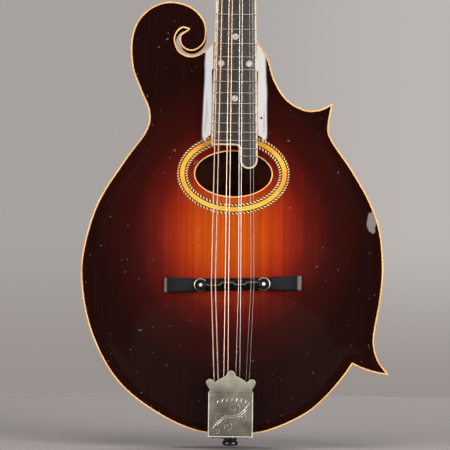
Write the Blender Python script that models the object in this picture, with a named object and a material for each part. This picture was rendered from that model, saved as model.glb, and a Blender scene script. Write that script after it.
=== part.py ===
# Carved-top mandolin with a scroll and two points, as separate pieces.
# The neck points up +Z, the top faces -Y and the treble side is +X. The origin is the centre of
# the end pin's outer face. All numbers below are millimetres and degrees; add_mesh() turns them
# into metres. "v" is a height above the bridge saddle's line, and z = v + SADDLE_Z.
import math

import bmesh
import bpy
import numpy as np
from mathutils import Matrix, Vector

MM = 0.001
GAP = 0.3                   # between touching pieces

# Strings and neck
SCALE_LENGTH = 352.4        # nut to saddle
SADDLE_Z = 134.7            # the saddle's line above the end pin's face
JOINT_V = 200.0             # where the neck meets the body
NECK_PITCH = 4.5            # the neck leans back
SEAT_Y = -25.0              # fingerboard underside at the joint
BOARD_THICK = 5.0
BOARD_CENTRE = 0.4
BOARD_END_V = 113.3         # bass side of the fingerboard's end
TONGUE = (12.5, 101.2, 7.2)  # the tongue's round end: x, v, radius
BOARD_FILLET = 4.0
BOARD_WIDTH = 33.0          # at 32 mm above the joint
BOARD_TAPER = 0.040         # loss of width per millimetre towards the nut
BOARD_BINDING = 1.4
HEEL_TO_HEAD = ((0.5, 47.0, 1.0), (4, 43.0, 1.0), (9, 35.0, 0.8), (15, 28.0, 0.5),
                (24, 23.5, 0.0), (40, 21.5, 0.0), (90, 20.5, 0.0))   # height, depth, squareness
NECK_TOP = ((18, 19.0), (4, 17.5), (0, 15.5))    # below the nut's far side, depth
NECK_END_DEPTH = 9.5
HEAD_PITCH = 14.0           # the headstock leans back from the neck
HEAD_THICK = 13.0
HEAD_EDGE = ((17.0, 8), (25.0, 15.5), (32.2, 27), (31.0, 45), (29.8, 70), (31.0, 95), (33.5, 113),
             (33.0, 128))
HEAD_CREST = ((33.0, 128), (26.0, 129.5), (20.5, 136), (14.0, 142), (6.0, 141.5), (0.0, 145))
HEAD_FOOT_HALF = 14.6
VENEER_THICK = 1.8
NUT_THICK = 4.0
STRING_RISE_NUT = 1.9       # string centre above the fingerboard at the nut
STRING_RISE_SADDLE = 4.9    # and at the saddle
STRING_RADII = (0.5, 0.5, 0.31, 0.31, 0.19, 0.19, 0.14, 0.14)
STRING_X_NUT = (-12.8, -9.6, -5.0, -2.4, 2.6, 5.0, 9.4, 12.2)
STRING_X_SADDLE = (-16.9, -13.6, -5.7, -2.9, 5.2, 7.0, 15.4, 17.8)
STRING_X_HOOK = (-12.7, -9.5, -6.0, -2.4, 3.3, 7.3, 11.3, 14.2)

# Body
RIM_HALF = 19.0             # half the depth between the plates
PLATE_THICK = 4.5
TOP_ARCH = 13.5
BACK_ARCH = 12.0
ARCH_CENTRE_V = 15.0
ARCH_HALF_X = 118.0
ARCH_DOWN = 136.0
ARCH_UP = 160.0
BINDING = 1.7               # width of the body binding
RIB_INSET = 1.0
RIB_THICK = 2.0
LINING_WIDTH = 5.0
LINING_DEPTH = 6.0
CORNER_STEP = 0.7           # first outline point beside a corner
SLAB_LOW = -132             # the plates' grid starts here, across and along
SLAB_SPAN = (264, 370)
TOP_GRID = 12.0
BACK_GRID = 14.0
CUT_DEPTH = 60              # cutters reach beyond both plates
BLOCK_INSET = 3.3
BLOCKS = {                  # lower left and upper right corners, cut to the outline
    "neck_block": ((-90, 172), (30, 240)),
    "tail_block": ((-30, -130), (30, -105)),
    "upper_point_block": ((63, 112), (90, 160)),
    "lower_point_block": ((100, -80), (140, -32)),
}
BRACE_V = (57, 63)
BRACE_HALF = 72
BRACE_DEPTH = 12
HOLE = (0.0, 90.6, 32.4, 19.5)   # sound hole with its binding: x, v, half width, half height
HOLE_BINDING = 1.2
ROSETTE_OUT = (46.4, 33.5)
ROSETTE_IN = (36.5, 24.0)
ROSETTE_THICK = 1.0

# Bridge
BRIDGE_SLANT = math.radians(1.5)
BASE_ENDS = (-55.6, 56.9)
BASE_TOP_Y = -41.6
BASE_STATIONS = (-53, -46, -39, -34, -32, -25.7, -16, -8, 0, 8, 16, 25.7, 32, 34, 39, 46, 54)
FOOT_START = 33             # the feet begin this far from the middle
FOOT_SLOPE = 19             # and taper over this length
FOOT_HALF = 5.9
FOOT_TIP = 3.2              # thickness of the foot's tip
WAIST_HALF = 5.2
WAIST_LIFT = 1.3            # the middle clears the top by this much more than the feet
SADDLE_SECTIONS = ((-25.7, 2.6, 0.35), (-21, 3.2, 0.8), (-18.5, 3.4, 1.0), (0, 3.6, 1.0),
                   (19.5, 3.4, 1.0), (21.5, 3.2, 0.8), (25.7, 2.6, 0.35))   # x, half, height
SADDLE_CREST = 1.2
STUD_X = 25.7
STUD_RADIUS = 1.5
WHEEL_Y = (-43.6, -45.4)
WHEEL_RADIUS = 5.6
BOSS_Y = (-45.7, -48.0)
BOSS_RADIUS = 4.6

# Tailpiece and end pin
TAIL_CORNER_V = -126.5
TAIL_CORNER_Y = -25.3
COVER_HALF = 18.2
COVER_FOOT = 1.8            # the cover's lower edge above the tail corner
COVER_LENGTH = 39.6
EAR = (17.2, 47.4, 3.2)     # across, up, radius
CREST = (0.0, 54.6, 3.2)
TAIL_LEAN = 3.0             # degrees between the base sheet and the top
TAIL_REACH = 33.0           # how far the base sheet runs up the top
TAIL_SET = 1.4              # the base sheet lies this far behind the corner
RIM_LEG_END = 10.0          # the folded leg's end, towards the back
SHEET = 0.8
COVER_RISE = 6.6            # the cover's outer face above the tail corner
STRING_TAIL_RISE = 4.0
HOOK_AT = (20.0, 25.0)
BASE_HALF = 16.8
PIN_HOLE = 3.6
PIN_PROFILE = ((0, 0), (5.6, 0), (6.5, 1.0), (6.5, 3.0), (5.4, 3.9), (4.4, 4.3), (5.75, 4.9),
               (5.75, 7.0), (5.0, 7.4), (3.2, 7.4), (2.9, 24.5), (0, 24.5))   # radius, height

# Tuners, in the headstock's frame
POST_X = 17.0
POST_Z = (35.0, 58.0, 81.0, 104.0)
POST_RADIUS = 3.0
POST_TIP_Y = -13.5
POST_STRING_Y = -6.0
POST_HOLE = 3.7
GEAR_RADIUS = 4.9
GEAR_Y = (15.2, 18.8)
WORM_RADIUS = 2.4
WORM_OFFSET = 7.65
SHAFT_RADIUS = 1.5
TUNER_PLATE_Y = (13.3, 14.3)
BUTTON_X = (41.5, 56.0)
BUTTON_SHAPE = ((7.6, 44.5), (8.2, 49.0), (6.8, 54.0))   # radius, distance out
BUTTON_FLAT = 0.5           # the buttons are half as thick as they are wide
WORM_X = (10.6, 23.6)
SHAFT_X = (8.4, 39.0)
TUNER_PLATE_X = (8.6, 27.0)
TUNER_PLATE_ENDS = (8, 16)  # beyond the outer posts
BEARINGS = ((9.0, 10.2), (24.0, 25.2))   # the two ears that hold each shaft
BEARING_HALF = 2.9

# The body's outer edge as (x, v), clockwise from the neck's treble corner. Each run is a smooth
# curve through its points, and the runs meet in corners.
RUNS = {
    "cutaway": [(18.9, 200.1), (27.3, 186.0), (33.2, 168.2), (43.4, 152.6), (58.2, 144.3),
                (70.8, 144.7), (81.3, 149.9)],
    "treble_side": [(81.3, 149.9), (78.2, 131.0), (80.8, 119.6), (97.7, 95.1), (112.0, 70.6),
                    (121.2, 46.0), (124.5, 15.0), (122.6, -11.7), (118.4, -36.5), (117.8, -49.3),
                    (121.4, -61.8), (130.2, -73.7)],
    "lower_point": [(130.2, -73.7), (118.4, -71.8), (107.4, -68.3), (100.1, -64.9)],
    "lower_treble": [(100.1, -64.9), (91.0, -78.0), (74.5, -96.5), (57.4, -109.3), (30.0, -121.2),
                     (0.7, -125.7)],
    "bass_side": [(0.7, -125.7), (-30.0, -121.0), (-58.0, -108.7), (-86.5, -88.4),
                  (-105.3, -63.9), (-118.9, -31.1), (-124.6, 5.0), (-121.5, 34.8),
                  (-110.6, 67.9), (-89.9, 101.1), (-72.9, 125.0), (-70.3, 141.0), (-77.4, 158.9),
                  (-84.3, 178.0), (-85.4, 199.5), (-80.2, 216.0), (-68.5, 227.6), (-53.0, 232.1),
                  (-36.0, 227.7), (-25.3, 216.0), (-24.4, 201.0), (-30.8, 193.2), (-38.0, 192.0),
                  (-44.1, 196.0), (-45.3, 204.1), (-38.5, 209.7)],
    "slot": [(-38.5, 209.7), (-43.6, 210.4), (-48.2, 206.0), (-49.2, 199.5), (-45.4, 191.1),
             (-36.0, 187.5), (-26.5, 190.9), (-17.2, 200.2)],
}


# ---------------------------------------------------------------- frames
def neck_matrix():
    place = Matrix.Translation((0, SEAT_Y, JOINT_V + SADDLE_Z))
    return place @ Matrix.Rotation(-math.radians(NECK_PITCH), 4, "X")


def board_top_z():
    """Height in the neck's frame where the fingerboard stops and the nut begins."""
    return SCALE_LENGTH - JOINT_V / math.cos(math.radians(NECK_PITCH))


def head_matrix():
    place = Matrix.Translation((0, GAP, board_top_z() + NUT_THICK + GAP))
    return neck_matrix() @ place @ Matrix.Rotation(-math.radians(HEAD_PITCH), 4, "X")


def saddle_point(x):
    z = -JOINT_V / math.cos(math.radians(NECK_PITCH))
    return neck_matrix() @ Vector((x, -BOARD_THICK - STRING_RISE_SADDLE, z))


def tail_tilt():
    rise = TAIL_CORNER_Y - STRING_TAIL_RISE - saddle_point(0).y
    return math.atan2(rise, -TAIL_CORNER_V)


def tail_matrix():
    place = Matrix.Translation((0, TAIL_CORNER_Y, TAIL_CORNER_V + SADDLE_Z))
    return place @ Matrix.Rotation(tail_tilt(), 4, "X")


# ---------------------------------------------------------------- outlines
def smooth_run(points, steps=9):
    """Points along a curve that passes smoothly through the given points."""
    p = [Vector(q) for q in points]
    p = [2 * p[0] - p[1]] + p + [2 * p[-1] - p[-2]]
    curve = []
    for a, b, c, d in zip(p, p[1:], p[2:], p[3:]):
        for k in range(steps):
            t = k / steps
            bend = (2 * a - 5 * b + 4 * c - d) * t * t + (3 * b - a - 3 * c + d) * t ** 3
            curve.append(b + 0.5 * ((c - a) * t + bend))
    return curve + [p[-2]]


def thin(points, tolerance):
    """Drops the points that lie within the tolerance of the line between those kept."""
    if len(points) < 3:
        return list(points)
    start, end = points[0], points[-1]
    along = end - start
    length = along.length
    best, worst = 0, tolerance
    for i in range(1, len(points) - 1):
        off = points[i] - start
        if length > 1e-6:
            miss = abs(along.x * off.y - along.y * off.x) / length
        else:
            miss = off.length
        if miss > worst:
            best, worst = i, miss
    if best == 0:
        return [start, end]
    return thin(points[:best + 1], tolerance)[:-1] + thin(points[best:], tolerance)


def body_outline():
    """The dense closed outline, with the run each point belongs to; corners belong to none."""
    points, labels = [], []
    for name, run in RUNS.items():
        curve = smooth_run(run)
        nudge = (curve[1] - curve[0]).normalized() * CORNER_STEP
        tail_nudge = (curve[-2] - curve[-1]).normalized() * CORNER_STEP
        points += [curve[0], curve[0] + nudge] + curve[1:-1] + [curve[-1] + tail_nudge]
        labels += [None] + [name] * len(curve)
    points.append(Vector(RUNS["slot"][-1]))
    labels.append(None)
    return points, labels


def inset(points, labels, distance):
    """The closed clockwise outline moved inward; points that come too near an edge are dropped."""
    count = len(points)
    moved, names = [], []
    for i, point in enumerate(points):
        before = (point - points[i - 1]).normalized()
        after = (points[(i + 1) % count] - point).normalized()
        n1 = Vector((before.y, -before.x))
        n2 = Vector((after.y, -after.x))
        turn = before.x * after.y - before.y * after.x
        if turn > 0.3 or n1.dot(n2) < -0.9:
            start = math.atan2(n1.y, n1.x)
            sweep = (math.atan2(n2.y, n2.x) - start) % math.tau
            for k in range(5):
                angle = start + sweep * k / 4
                moved.append(point + Vector((math.cos(angle), math.sin(angle))) * distance)
                names.append(labels[i])
        else:
            moved.append(point + (n1 + n2) * (distance / max(1 + n1.dot(n2), 0.05)))
            names.append(labels[i])
    a = np.array(points)
    step = np.roll(a, -1, axis=0) - a
    square = (step ** 2).sum(axis=1)
    kept = []
    for point, name in zip(moved, names):
        offset = np.array(point) - a
        t = np.clip((offset * step).sum(axis=1) / square, 0, 1)
        nearest = np.linalg.norm(offset - step * t[:, None], axis=1).min()
        if nearest > distance - 0.03:
            kept.append((point, name))
    return kept


def inset_loop(outline, distance, tolerance=0.15):
    loop = [point for point, _ in inset(*outline, distance)]
    half = len(loop) // 2
    return thin(loop[:half + 1], tolerance)[:-1] + thin(loop[half:], tolerance)


def edge_strip(outline, runs, near, far, keep=None, tolerance=0.15):
    """A band along some runs of the outline, between two distances from its edge."""
    sides = []
    for distance in (near, far):
        side = []
        for point, name in inset(*outline, distance):
            if name in runs and (keep is None or keep(point)):
                side.append(point)
        sides.append(thin(side, tolerance))
    return sides[0] + sides[1][::-1]


def arc(x, v, radius, start, end, steps):
    """Points on a circle, angles in degrees from +x towards +v."""
    turns = [math.radians(start + (end - start) * k / steps) for k in range(steps + 1)]
    return [Vector((x + radius * math.cos(a), v + radius * math.sin(a))) for a in turns]


def ellipse(half_x, half_v, steps=40):
    turns = [math.tau * k / steps for k in range(steps)]
    return [Vector((HOLE[0] + half_x * math.cos(a), HOLE[1] + half_v * math.sin(a)))
            for a in turns]


def arch(x, v, height):
    """How far the carved plate stands proud of its flat edge."""
    reach = ARCH_UP if v > ARCH_CENTRE_V else ARCH_DOWN
    r = math.hypot(x / ARCH_HALF_X, (v - ARCH_CENTRE_V) / reach)
    return height * math.cos(min(r, 1.0) * math.pi / 2) ** 2


def top_y(x, v):
    """The top plate's outer surface."""
    return -RIM_HALF - PLATE_THICK - arch(x, v, TOP_ARCH)


def board_under_y(v):
    return SEAT_Y - math.tan(math.radians(NECK_PITCH)) * (JOINT_V - v)


# ---------------------------------------------------------------- meshes
def material(name, colour, rough, metallic=0.0):
    found = bpy.data.materials.get(name)
    if found:
        return found
    made = bpy.data.materials.new(name)
    made.use_nodes = True
    shader = made.node_tree.nodes["Principled BSDF"]
    shader.inputs["Base Color"].default_value = (*colour, 1.0)
    shader.inputs["Roughness"].default_value = rough
    shader.inputs["Metallic"].default_value = metallic
    made.diffuse_color = (*colour, 1.0)
    return made


MATERIALS = {
    "sunburst_spruce": ((0.30, 0.05, 0.02), 0.25, 0.0),
    "stained_maple": ((0.12, 0.03, 0.015), 0.25, 0.0),
    "raw_spruce": ((0.62, 0.45, 0.25), 0.7, 0.0),
    "binding_cream": ((0.86, 0.56, 0.24), 0.35, 0.0),
    "rosette_inlay": ((0.85, 0.50, 0.12), 0.35, 0.0),
    "ebony": ((0.02, 0.018, 0.017), 0.35, 0.0),
    "nickel_plate": ((0.50, 0.47, 0.40), 0.35, 1.0),
    "bone": ((0.82, 0.77, 0.66), 0.45, 0.0),
    "bronze_wire": ((0.75, 0.42, 0.22), 0.3, 1.0),
    "steel_wire": ((0.72, 0.70, 0.66), 0.25, 1.0),
    "black_button": ((0.015, 0.015, 0.015), 0.25, 0.0),
}


def add_mesh(name, mesh_data, slot, matrix=None, parent=None):
    """Makes an object from a bmesh in millimetres, set in place by a matrix in millimetres."""
    if matrix is not None:
        bmesh.ops.transform(mesh_data, matrix=matrix, verts=mesh_data.verts)
    bmesh.ops.scale(mesh_data, vec=(MM, MM, MM), verts=mesh_data.verts)
    bmesh.ops.recalc_face_normals(mesh_data, faces=mesh_data.faces)
    mesh = bpy.data.meshes.new(name)
    mesh_data.to_mesh(mesh)
    mesh_data.free()
    mesh.shade_smooth()
    mesh.set_sharp_from_angle(angle=math.radians(35))
    piece = bpy.data.objects.new(name, mesh)
    bpy.context.scene.collection.objects.link(piece)
    if slot:
        mesh.materials.append(material(slot, *MATERIALS[slot]))
    if parent:
        piece.parent = parent
    return piece


def add_empty(name, matrix, parent=None):
    empty = bpy.data.objects.new(name, None)
    bpy.context.scene.collection.objects.link(empty)
    if parent:
        empty.parent = parent
    metres = matrix.copy()
    metres.translation = matrix.translation * MM
    empty.matrix_basis = metres
    return empty


def prism(loop, y0, y1):
    """A flat (x, v) loop made solid between two depths. v becomes z."""
    solid = bmesh.new()
    face = solid.faces.new([solid.verts.new((p[0], y0, p[1])) for p in loop])
    grown = bmesh.ops.extrude_face_region(solid, geom=[face])
    moved = [g for g in grown["geom"] if isinstance(g, bmesh.types.BMVert)]
    bmesh.ops.translate(solid, vec=(0, y1 - y0, 0), verts=moved)
    return solid


def body_prism(loop, y0, y1):
    return prism([(p[0], p[1] + SADDLE_Z) for p in loop], y0, y1)


def loft(rings):
    """Joins rings of the same number of points and closes both ends."""
    solid = bmesh.new()
    rows = [[solid.verts.new(p) for p in ring] for ring in rings]
    count = len(rows[0])
    for low, high in zip(rows, rows[1:]):
        for i in range(count):
            j = (i + 1) % count
            solid.faces.new((low[i], low[j], high[j], high[i]))
    solid.faces.new(rows[0])
    solid.faces.new(rows[-1][::-1])
    return solid


def turned(profile, steps, axis="Z"):
    """A round solid from (radius, height) points, first and last on the axis."""
    solid = bmesh.new()
    ends = [solid.verts.new((0, 0, profile[0][1])), solid.verts.new((0, 0, profile[-1][1]))]
    rows = []
    for radius, height in profile[1:-1]:
        turns = [math.tau * k / steps for k in range(steps)]
        rows.append([solid.verts.new((radius * math.cos(a), radius * math.sin(a), height))
                     for a in turns])
    for low, high in zip(rows, rows[1:]):
        for i in range(steps):
            j = (i + 1) % steps
            solid.faces.new((low[i], low[j], high[j], high[i]))
    for i in range(steps):
        j = (i + 1) % steps
        solid.faces.new((ends[0], rows[0][j], rows[0][i]))
        solid.faces.new((ends[1], rows[-1][i], rows[-1][j]))
    if axis == "X":
        bmesh.ops.rotate(solid, matrix=Matrix.Rotation(math.pi / 2, 3, "Y"), verts=solid.verts)
    if axis == "Y":
        bmesh.ops.rotate(solid, matrix=Matrix.Rotation(-math.pi / 2, 3, "X"), verts=solid.verts)
    return solid


def rod(radius, low, high, steps=12, axis="Z"):
    return turned([(0, low), (radius, low), (radius, high), (0, high)], steps, axis)


def box(low, high):
    solid = bmesh.new()
    bmesh.ops.create_cube(solid, size=1.0)
    size = [b - a for a, b in zip(low, high)]
    middle = [(a + b) / 2 for a, b in zip(low, high)]
    bmesh.ops.scale(solid, vec=size, verts=solid.verts)
    bmesh.ops.translate(solid, vec=middle, verts=solid.verts)
    return solid


def moved(solid, vec):
    bmesh.ops.translate(solid, vec=vec, verts=solid.verts)
    return solid


def tool(name, solid, parent=None):
    """A guide solid for a Boolean; it isn't a piece of the mandolin."""
    guide = add_mesh(name, solid, None, parent=parent)
    guide.hide_render = True
    guide.display_type = "WIRE"
    return guide


def boolean(piece, guide, operation):
    change = piece.modifiers.new(guide.name, "BOOLEAN")
    change.operation = operation
    change.object = guide
    change.solver = "EXACT"


# ---------------------------------------------------------------- body
def surface_slab(outer, inner, step):
    """A thick curved sheet over the whole body, to be cut to the outline."""
    across, along = ([SLAB_LOW + step * i for i in range(int(span / step) + 2)]
                     for span in SLAB_SPAN)
    solid = bmesh.new()
    sheets = []
    for surface in (outer, inner):
        sheets.append([[solid.verts.new((x, surface(x, v), v + SADDLE_Z)) for x in across]
                       for v in along])
    for sheet in sheets:
        for low, high in zip(sheet, sheet[1:]):
            for a, b, c, d in zip(low, low[1:], high[1:], high):
                solid.faces.new((a, b, c, d))
    front, back = sheets
    for rim_front, rim_back in ((front[0], back[0]), (front[-1], back[-1]),
                                ([r[0] for r in front], [r[0] for r in back]),
                                ([r[-1] for r in front], [r[-1] for r in back])):
        for a, b, c, d in zip(rim_front, rim_front[1:], rim_back[1:], rim_back):
            solid.faces.new((a, b, c, d))
    return solid


def surface_band(outer_loop, inner_loop, front, back):
    """A ring between two loops of equal count, its faces following the top plate."""
    solid = bmesh.new()
    rows = []
    for loop, depth in ((outer_loop, front), (inner_loop, front), (inner_loop, back),
                        (outer_loop, back)):
        rows.append([solid.verts.new((p.x, top_y(p.x, p.y) + depth, p.y + SADDLE_Z))
                     for p in loop])
    count = len(outer_loop)
    for a, b in zip(rows, rows[1:] + rows[:1]):
        for i in range(count):
            j = (i + 1) % count
            solid.faces.new((a[i], a[j], b[j], b[i]))
    return solid


def make_plates(outline):
    plate_loop = inset_loop(outline, BINDING + GAP)
    blank = tool("plate_blank", body_prism(plate_loop, -CUT_DEPTH, CUT_DEPTH))
    top_slab = surface_slab(top_y, lambda x, v: top_y(x, v) + PLATE_THICK, TOP_GRID)
    top = add_mesh("top_plate", top_slab, "sunburst_spruce")
    boolean(top, blank, "INTERSECT")
    hole = body_prism(ellipse(HOLE[2] + GAP, HOLE[3] + GAP), -CUT_DEPTH, 0)
    boolean(top, tool("hole_cutter", hole), "DIFFERENCE")
    channel = surface_band(ellipse(ROSETTE_OUT[0] + GAP, ROSETTE_OUT[1] + GAP),
                           ellipse(ROSETTE_IN[0] - GAP, ROSETTE_IN[1] - GAP),
                           -3.0, ROSETTE_THICK + GAP)
    boolean(top, tool("rosette_channel", channel), "DIFFERENCE")

    def back_y(x, v):
        return RIM_HALF + PLATE_THICK + arch(x, v, BACK_ARCH)

    back_slab = surface_slab(back_y, lambda x, v: back_y(x, v) - PLATE_THICK, BACK_GRID)
    back = add_mesh("back_plate", back_slab, "stained_maple")
    boolean(back, blank, "INTERSECT")


def make_trim(outline):
    whole = set(RUNS)
    strip = edge_strip(outline, whole, 0.0, BINDING)
    edge = RIM_HALF + PLATE_THICK
    add_mesh("top_binding", body_prism(strip, -edge, -RIM_HALF), "binding_cream")
    add_mesh("back_binding", body_prism(strip, RIM_HALF, edge), "binding_cream")
    ring = surface_band(ellipse(HOLE[2], HOLE[3]),
                        ellipse(HOLE[2] - HOLE_BINDING, HOLE[3] - HOLE_BINDING),
                        0.0, PLATE_THICK)
    add_mesh("soundhole_binding", ring, "binding_cream")
    inlay = surface_band(ellipse(*ROSETTE_OUT), ellipse(*ROSETTE_IN), 0.0, ROSETTE_THICK)
    add_mesh("rosette", inlay, "rosette_inlay")


def make_ribs(outline):
    half = RIM_HALF - GAP
    near, far = RIB_INSET, RIB_INSET + RIB_THICK
    pin_bore = tool("pin_bore", rod(PIN_HOLE, -1, 26, 16))
    for name, runs in (("rib_bass", {"bass_side", "slot"}), ("rib_cutaway", {"cutaway"}),
                       ("rib_treble", {"treble_side"}), ("rib_lower_point", {"lower_point"}),
                       ("rib_lower_treble", {"lower_treble"})):
        strip = edge_strip(outline, runs, near, far)
        rib = add_mesh(name, body_prism(strip, -half, half), "stained_maple")
        if name in ("rib_bass", "rib_lower_treble"):
            boolean(rib, pin_bore, "DIFFERENCE")
    return pin_bore


def make_blocks(outline, pin_bore):
    half = RIM_HALF - GAP
    core = tool("block_blank", body_prism(inset_loop(outline, BLOCK_INSET), -half, half))
    for name, (low, high) in BLOCKS.items():
        solid = box((low[0], -30, low[1] + SADDLE_Z), (high[0], 30, high[1] + SADDLE_Z))
        block = add_mesh(name, solid, "raw_spruce")
        boolean(block, core, "INTERSECT")
        if name == "tail_block":
            boolean(block, pin_bore, "DIFFERENCE")


def make_linings(outline):
    near = RIB_INSET + RIB_THICK + GAP
    outer = RIM_HALF - GAP
    stretches = {"bass": ({"bass_side"}, lambda p: p.x < -31 and p.y < 171),
                 "treble": ({"treble_side"}, lambda p: -31 < p.y < 111)}
    for side, (runs, keep) in stretches.items():
        strip = edge_strip(outline, runs, near, near + LINING_WIDTH, keep, 0.4)
        front = body_prism(strip, -outer, -outer + LINING_DEPTH)
        add_mesh("lining_top_" + side, front, "raw_spruce")
        rear = body_prism(strip, outer - LINING_DEPTH, outer)
        add_mesh("lining_back_" + side, rear, "raw_spruce")


def make_brace():
    rings = []
    low, high = BRACE_V
    for k in range(13):
        x = BRACE_HALF * (k / 6 - 1)
        depth = BRACE_DEPTH * math.cos(math.radians(76 * x / BRACE_HALF)) ** 0.5
        ring = []
        for v, foot in ((low, 0), (high, 0), (high, depth), (low, depth)):
            ring.append((x, top_y(x, v) + PLATE_THICK + GAP + foot, v + SADDLE_Z))
        rings.append(ring)
    add_mesh("top_brace", loft(rings), "raw_spruce")


# ---------------------------------------------------------------- neck
def board_half(z):
    """Half the fingerboard's width at a height in the neck's frame."""
    return 0.5 * (BOARD_WIDTH - BOARD_TAPER * (z - 32.0))


def board_outline():
    """The fingerboard from the nut down its treble edge, round the tongue and up the bass edge."""
    x, v, radius = TONGUE
    nut = board_top_z() - GAP
    right = [Vector((BOARD_CENTRE + board_half(nut), nut)), Vector((x + radius, v - JOINT_V))]
    end = arc(x, v - JOINT_V, radius, 0, -180, 14)
    inner = arc(x - radius - BOARD_FILLET, BOARD_END_V - JOINT_V - BOARD_FILLET,
                BOARD_FILLET, 0, 90, 5)
    foot = BOARD_END_V - JOINT_V
    left = [Vector((BOARD_CENTRE - board_half(foot), foot)),
            Vector((BOARD_CENTRE - board_half(nut), nut))]
    points = right[:1] + end + inner + left
    labels = [None] + ["edge"] * (len(points) - 2) + [None]
    nudge = Vector((0, -0.4))
    points.insert(1, points[0] + nudge)
    points.insert(-1, points[-1] + nudge)
    labels = ["edge", "edge"] + labels[1:-1] + ["edge", "edge"]
    return points, labels


def make_fingerboard(neck_frame):
    outline = board_outline()
    wood = inset_loop(outline, BOARD_BINDING + GAP, 0.05)
    lift = board_top_z() - GAP - max(p.y for p in wood)
    wood = [Vector((p.x, p.y + (lift if p.y > 100 else 0))) for p in wood]
    add_mesh("fingerboard", prism(wood, -BOARD_THICK, 0), "ebony", parent=neck_frame)
    sides = []
    for distance in (0.0, BOARD_BINDING):
        kept = [p for p, name in inset(*outline, distance) if name]
        kept[0] = Vector((kept[0].x, board_top_z() - GAP))
        kept[-1] = Vector((kept[-1].x, board_top_z() - GAP))
        sides.append(thin(kept, 0.03))
    band = prism(sides[0] + sides[1][::-1], -BOARD_THICK, 0)
    add_mesh("fingerboard_binding", band, "binding_cream", parent=neck_frame)


def make_riser():
    rings = []
    low, high = BOARD_END_V + 0.7, JOINT_V - 0.6
    for k in range(9):
        v = low + (high - low) * k / 8
        half = board_half(v - JOINT_V) - 1.0
        columns = [BOARD_CENTRE + half * s for s in (-1, -0.5, 0, 0.5, 1)]
        under = [(x, top_y(x, v) - GAP, v + SADDLE_Z) for x in columns]
        over = [(x, board_under_y(v) + GAP + 0.05, v + SADDLE_Z) for x in columns[::-1]]
        rings.append(under + over)
    add_mesh("fingerboard_riser", loft(rings), "stained_maple")


def neck_ring(z, half, depth, front=GAP, lean=0.0):
    """A D-shaped section, flat at the fingerboard. The lean raises its rounded side."""
    ring = []
    for k in range(13):
        a = math.pi * k / 12
        across = math.copysign(abs(math.cos(a)) ** 0.8, math.cos(a))
        y = front + depth * math.sin(a) ** 0.8
        ring.append((BOARD_CENTRE + half * across, y, z + lean * y))
    return ring


def make_neck(neck_frame, head_frame):
    top = board_top_z() + NUT_THICK
    square = math.tan(math.radians(NECK_PITCH))
    sections = list(HEEL_TO_HEAD) + [(top - below, depth, 0.0) for below, depth in NECK_TOP]
    rings = [neck_ring(z, board_half(z) - 0.2, depth, GAP, square * share)
             for z, depth, share in sections]
    rings.append(neck_ring(top + 3, board_half(top) - 0.8, NECK_END_DEPTH, GAP + 1.4))
    neck = add_mesh("neck", loft(rings), "stained_maple", parent=neck_frame)
    slab = prism(head_outline(0.0), 0, HEAD_THICK)
    slab = tool("head_slab", slab, parent=head_frame)
    boolean(neck, slab, "UNION")
    for k, (x, z) in enumerate(post_places()):
        bore = moved(rod(POST_HOLE, -10, 30, 12, "Y"), (x, 0, z))
        bore = tool("post_bore_%d" % (k + 1), bore, parent=head_frame)
        boolean(neck, bore, "DIFFERENCE")
    return neck


def head_outline(start):
    """The headstock's outline, both sides alike, from a height in its own frame."""
    half = smooth_run([(HEAD_FOOT_HALF, start), *HEAD_EDGE], 4)
    crest = smooth_run(HEAD_CREST, 4)
    side = half + crest[1:]
    return side + [Vector((-p.x, p.y)) for p in side[-2::-1]]


def post_places():
    """The posts, bass side from the nut up and then treble side."""
    return [(side * POST_X, z) for side in (-1, 1) for z in POST_Z]


def make_headstock(neck_frame, head_frame):
    veneer = prism(head_outline(0.3), -GAP - VENEER_THICK, -GAP)
    veneer = add_mesh("headstock_veneer", veneer, "ebony", parent=head_frame)
    for k in range(8):
        boolean(veneer, bpy.data.objects["post_bore_%d" % (k + 1)], "DIFFERENCE")
    low = board_top_z()
    half = board_half(low)
    crown = -BOARD_THICK - STRING_RISE_NUT + STRING_RADII[0] + GAP
    high = low + NUT_THICK
    profile = [(0, low), (crown, low), (crown, low + NUT_THICK * 0.4), (crown + 1.0, high),
               (0, high)]
    nut = loft([[(x, y, z) for y, z in profile]
                for x in (BOARD_CENTRE - half, BOARD_CENTRE + half)])
    add_mesh("nut", nut, "bone", parent=neck_frame)


# ---------------------------------------------------------------- tuners
def make_tuner_plate(name, side, head_frame):
    y0, y1 = TUNER_PLATE_Y
    x0, x1 = sorted(side * x for x in TUNER_PLATE_X)
    below, above = TUNER_PLATE_ENDS
    plate = box((x0, y0, POST_Z[0] - below), (x1, y1, POST_Z[-1] + above))
    plate = add_mesh(name, plate, "nickel_plate", parent=head_frame)
    for k, z in enumerate(POST_Z):
        for near, far in BEARINGS:
            e0, e1 = sorted((side * near, side * far))
            ear = box((e0, y0 + 0.2, z + WORM_OFFSET - BEARING_HALF),
                      (e1, GEAR_Y[1] + 1.2, z + WORM_OFFSET + BEARING_HALF))
            ear = tool("ear_%s_%d_%d" % (name, k, near), ear, parent=head_frame)
            boolean(plate, ear, "UNION")
    for k, z in enumerate(POST_Z):
        bore = rod(SHAFT_RADIUS + 0.45, side * 5, side * 30, 10, "X")
        if side < 0:
            bmesh.ops.reverse_faces(bore, faces=bore.faces)
        bore = moved(bore, (0, sum(GEAR_Y) / 2, z + WORM_OFFSET))
        boolean(plate, tool("shaft_bore_%s_%d" % (name, k), bore, head_frame), "DIFFERENCE")
        row = k + (0 if side < 0 else 4)
        boolean(plate, bpy.data.objects["post_bore_%d" % (row + 1)], "DIFFERENCE")


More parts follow.
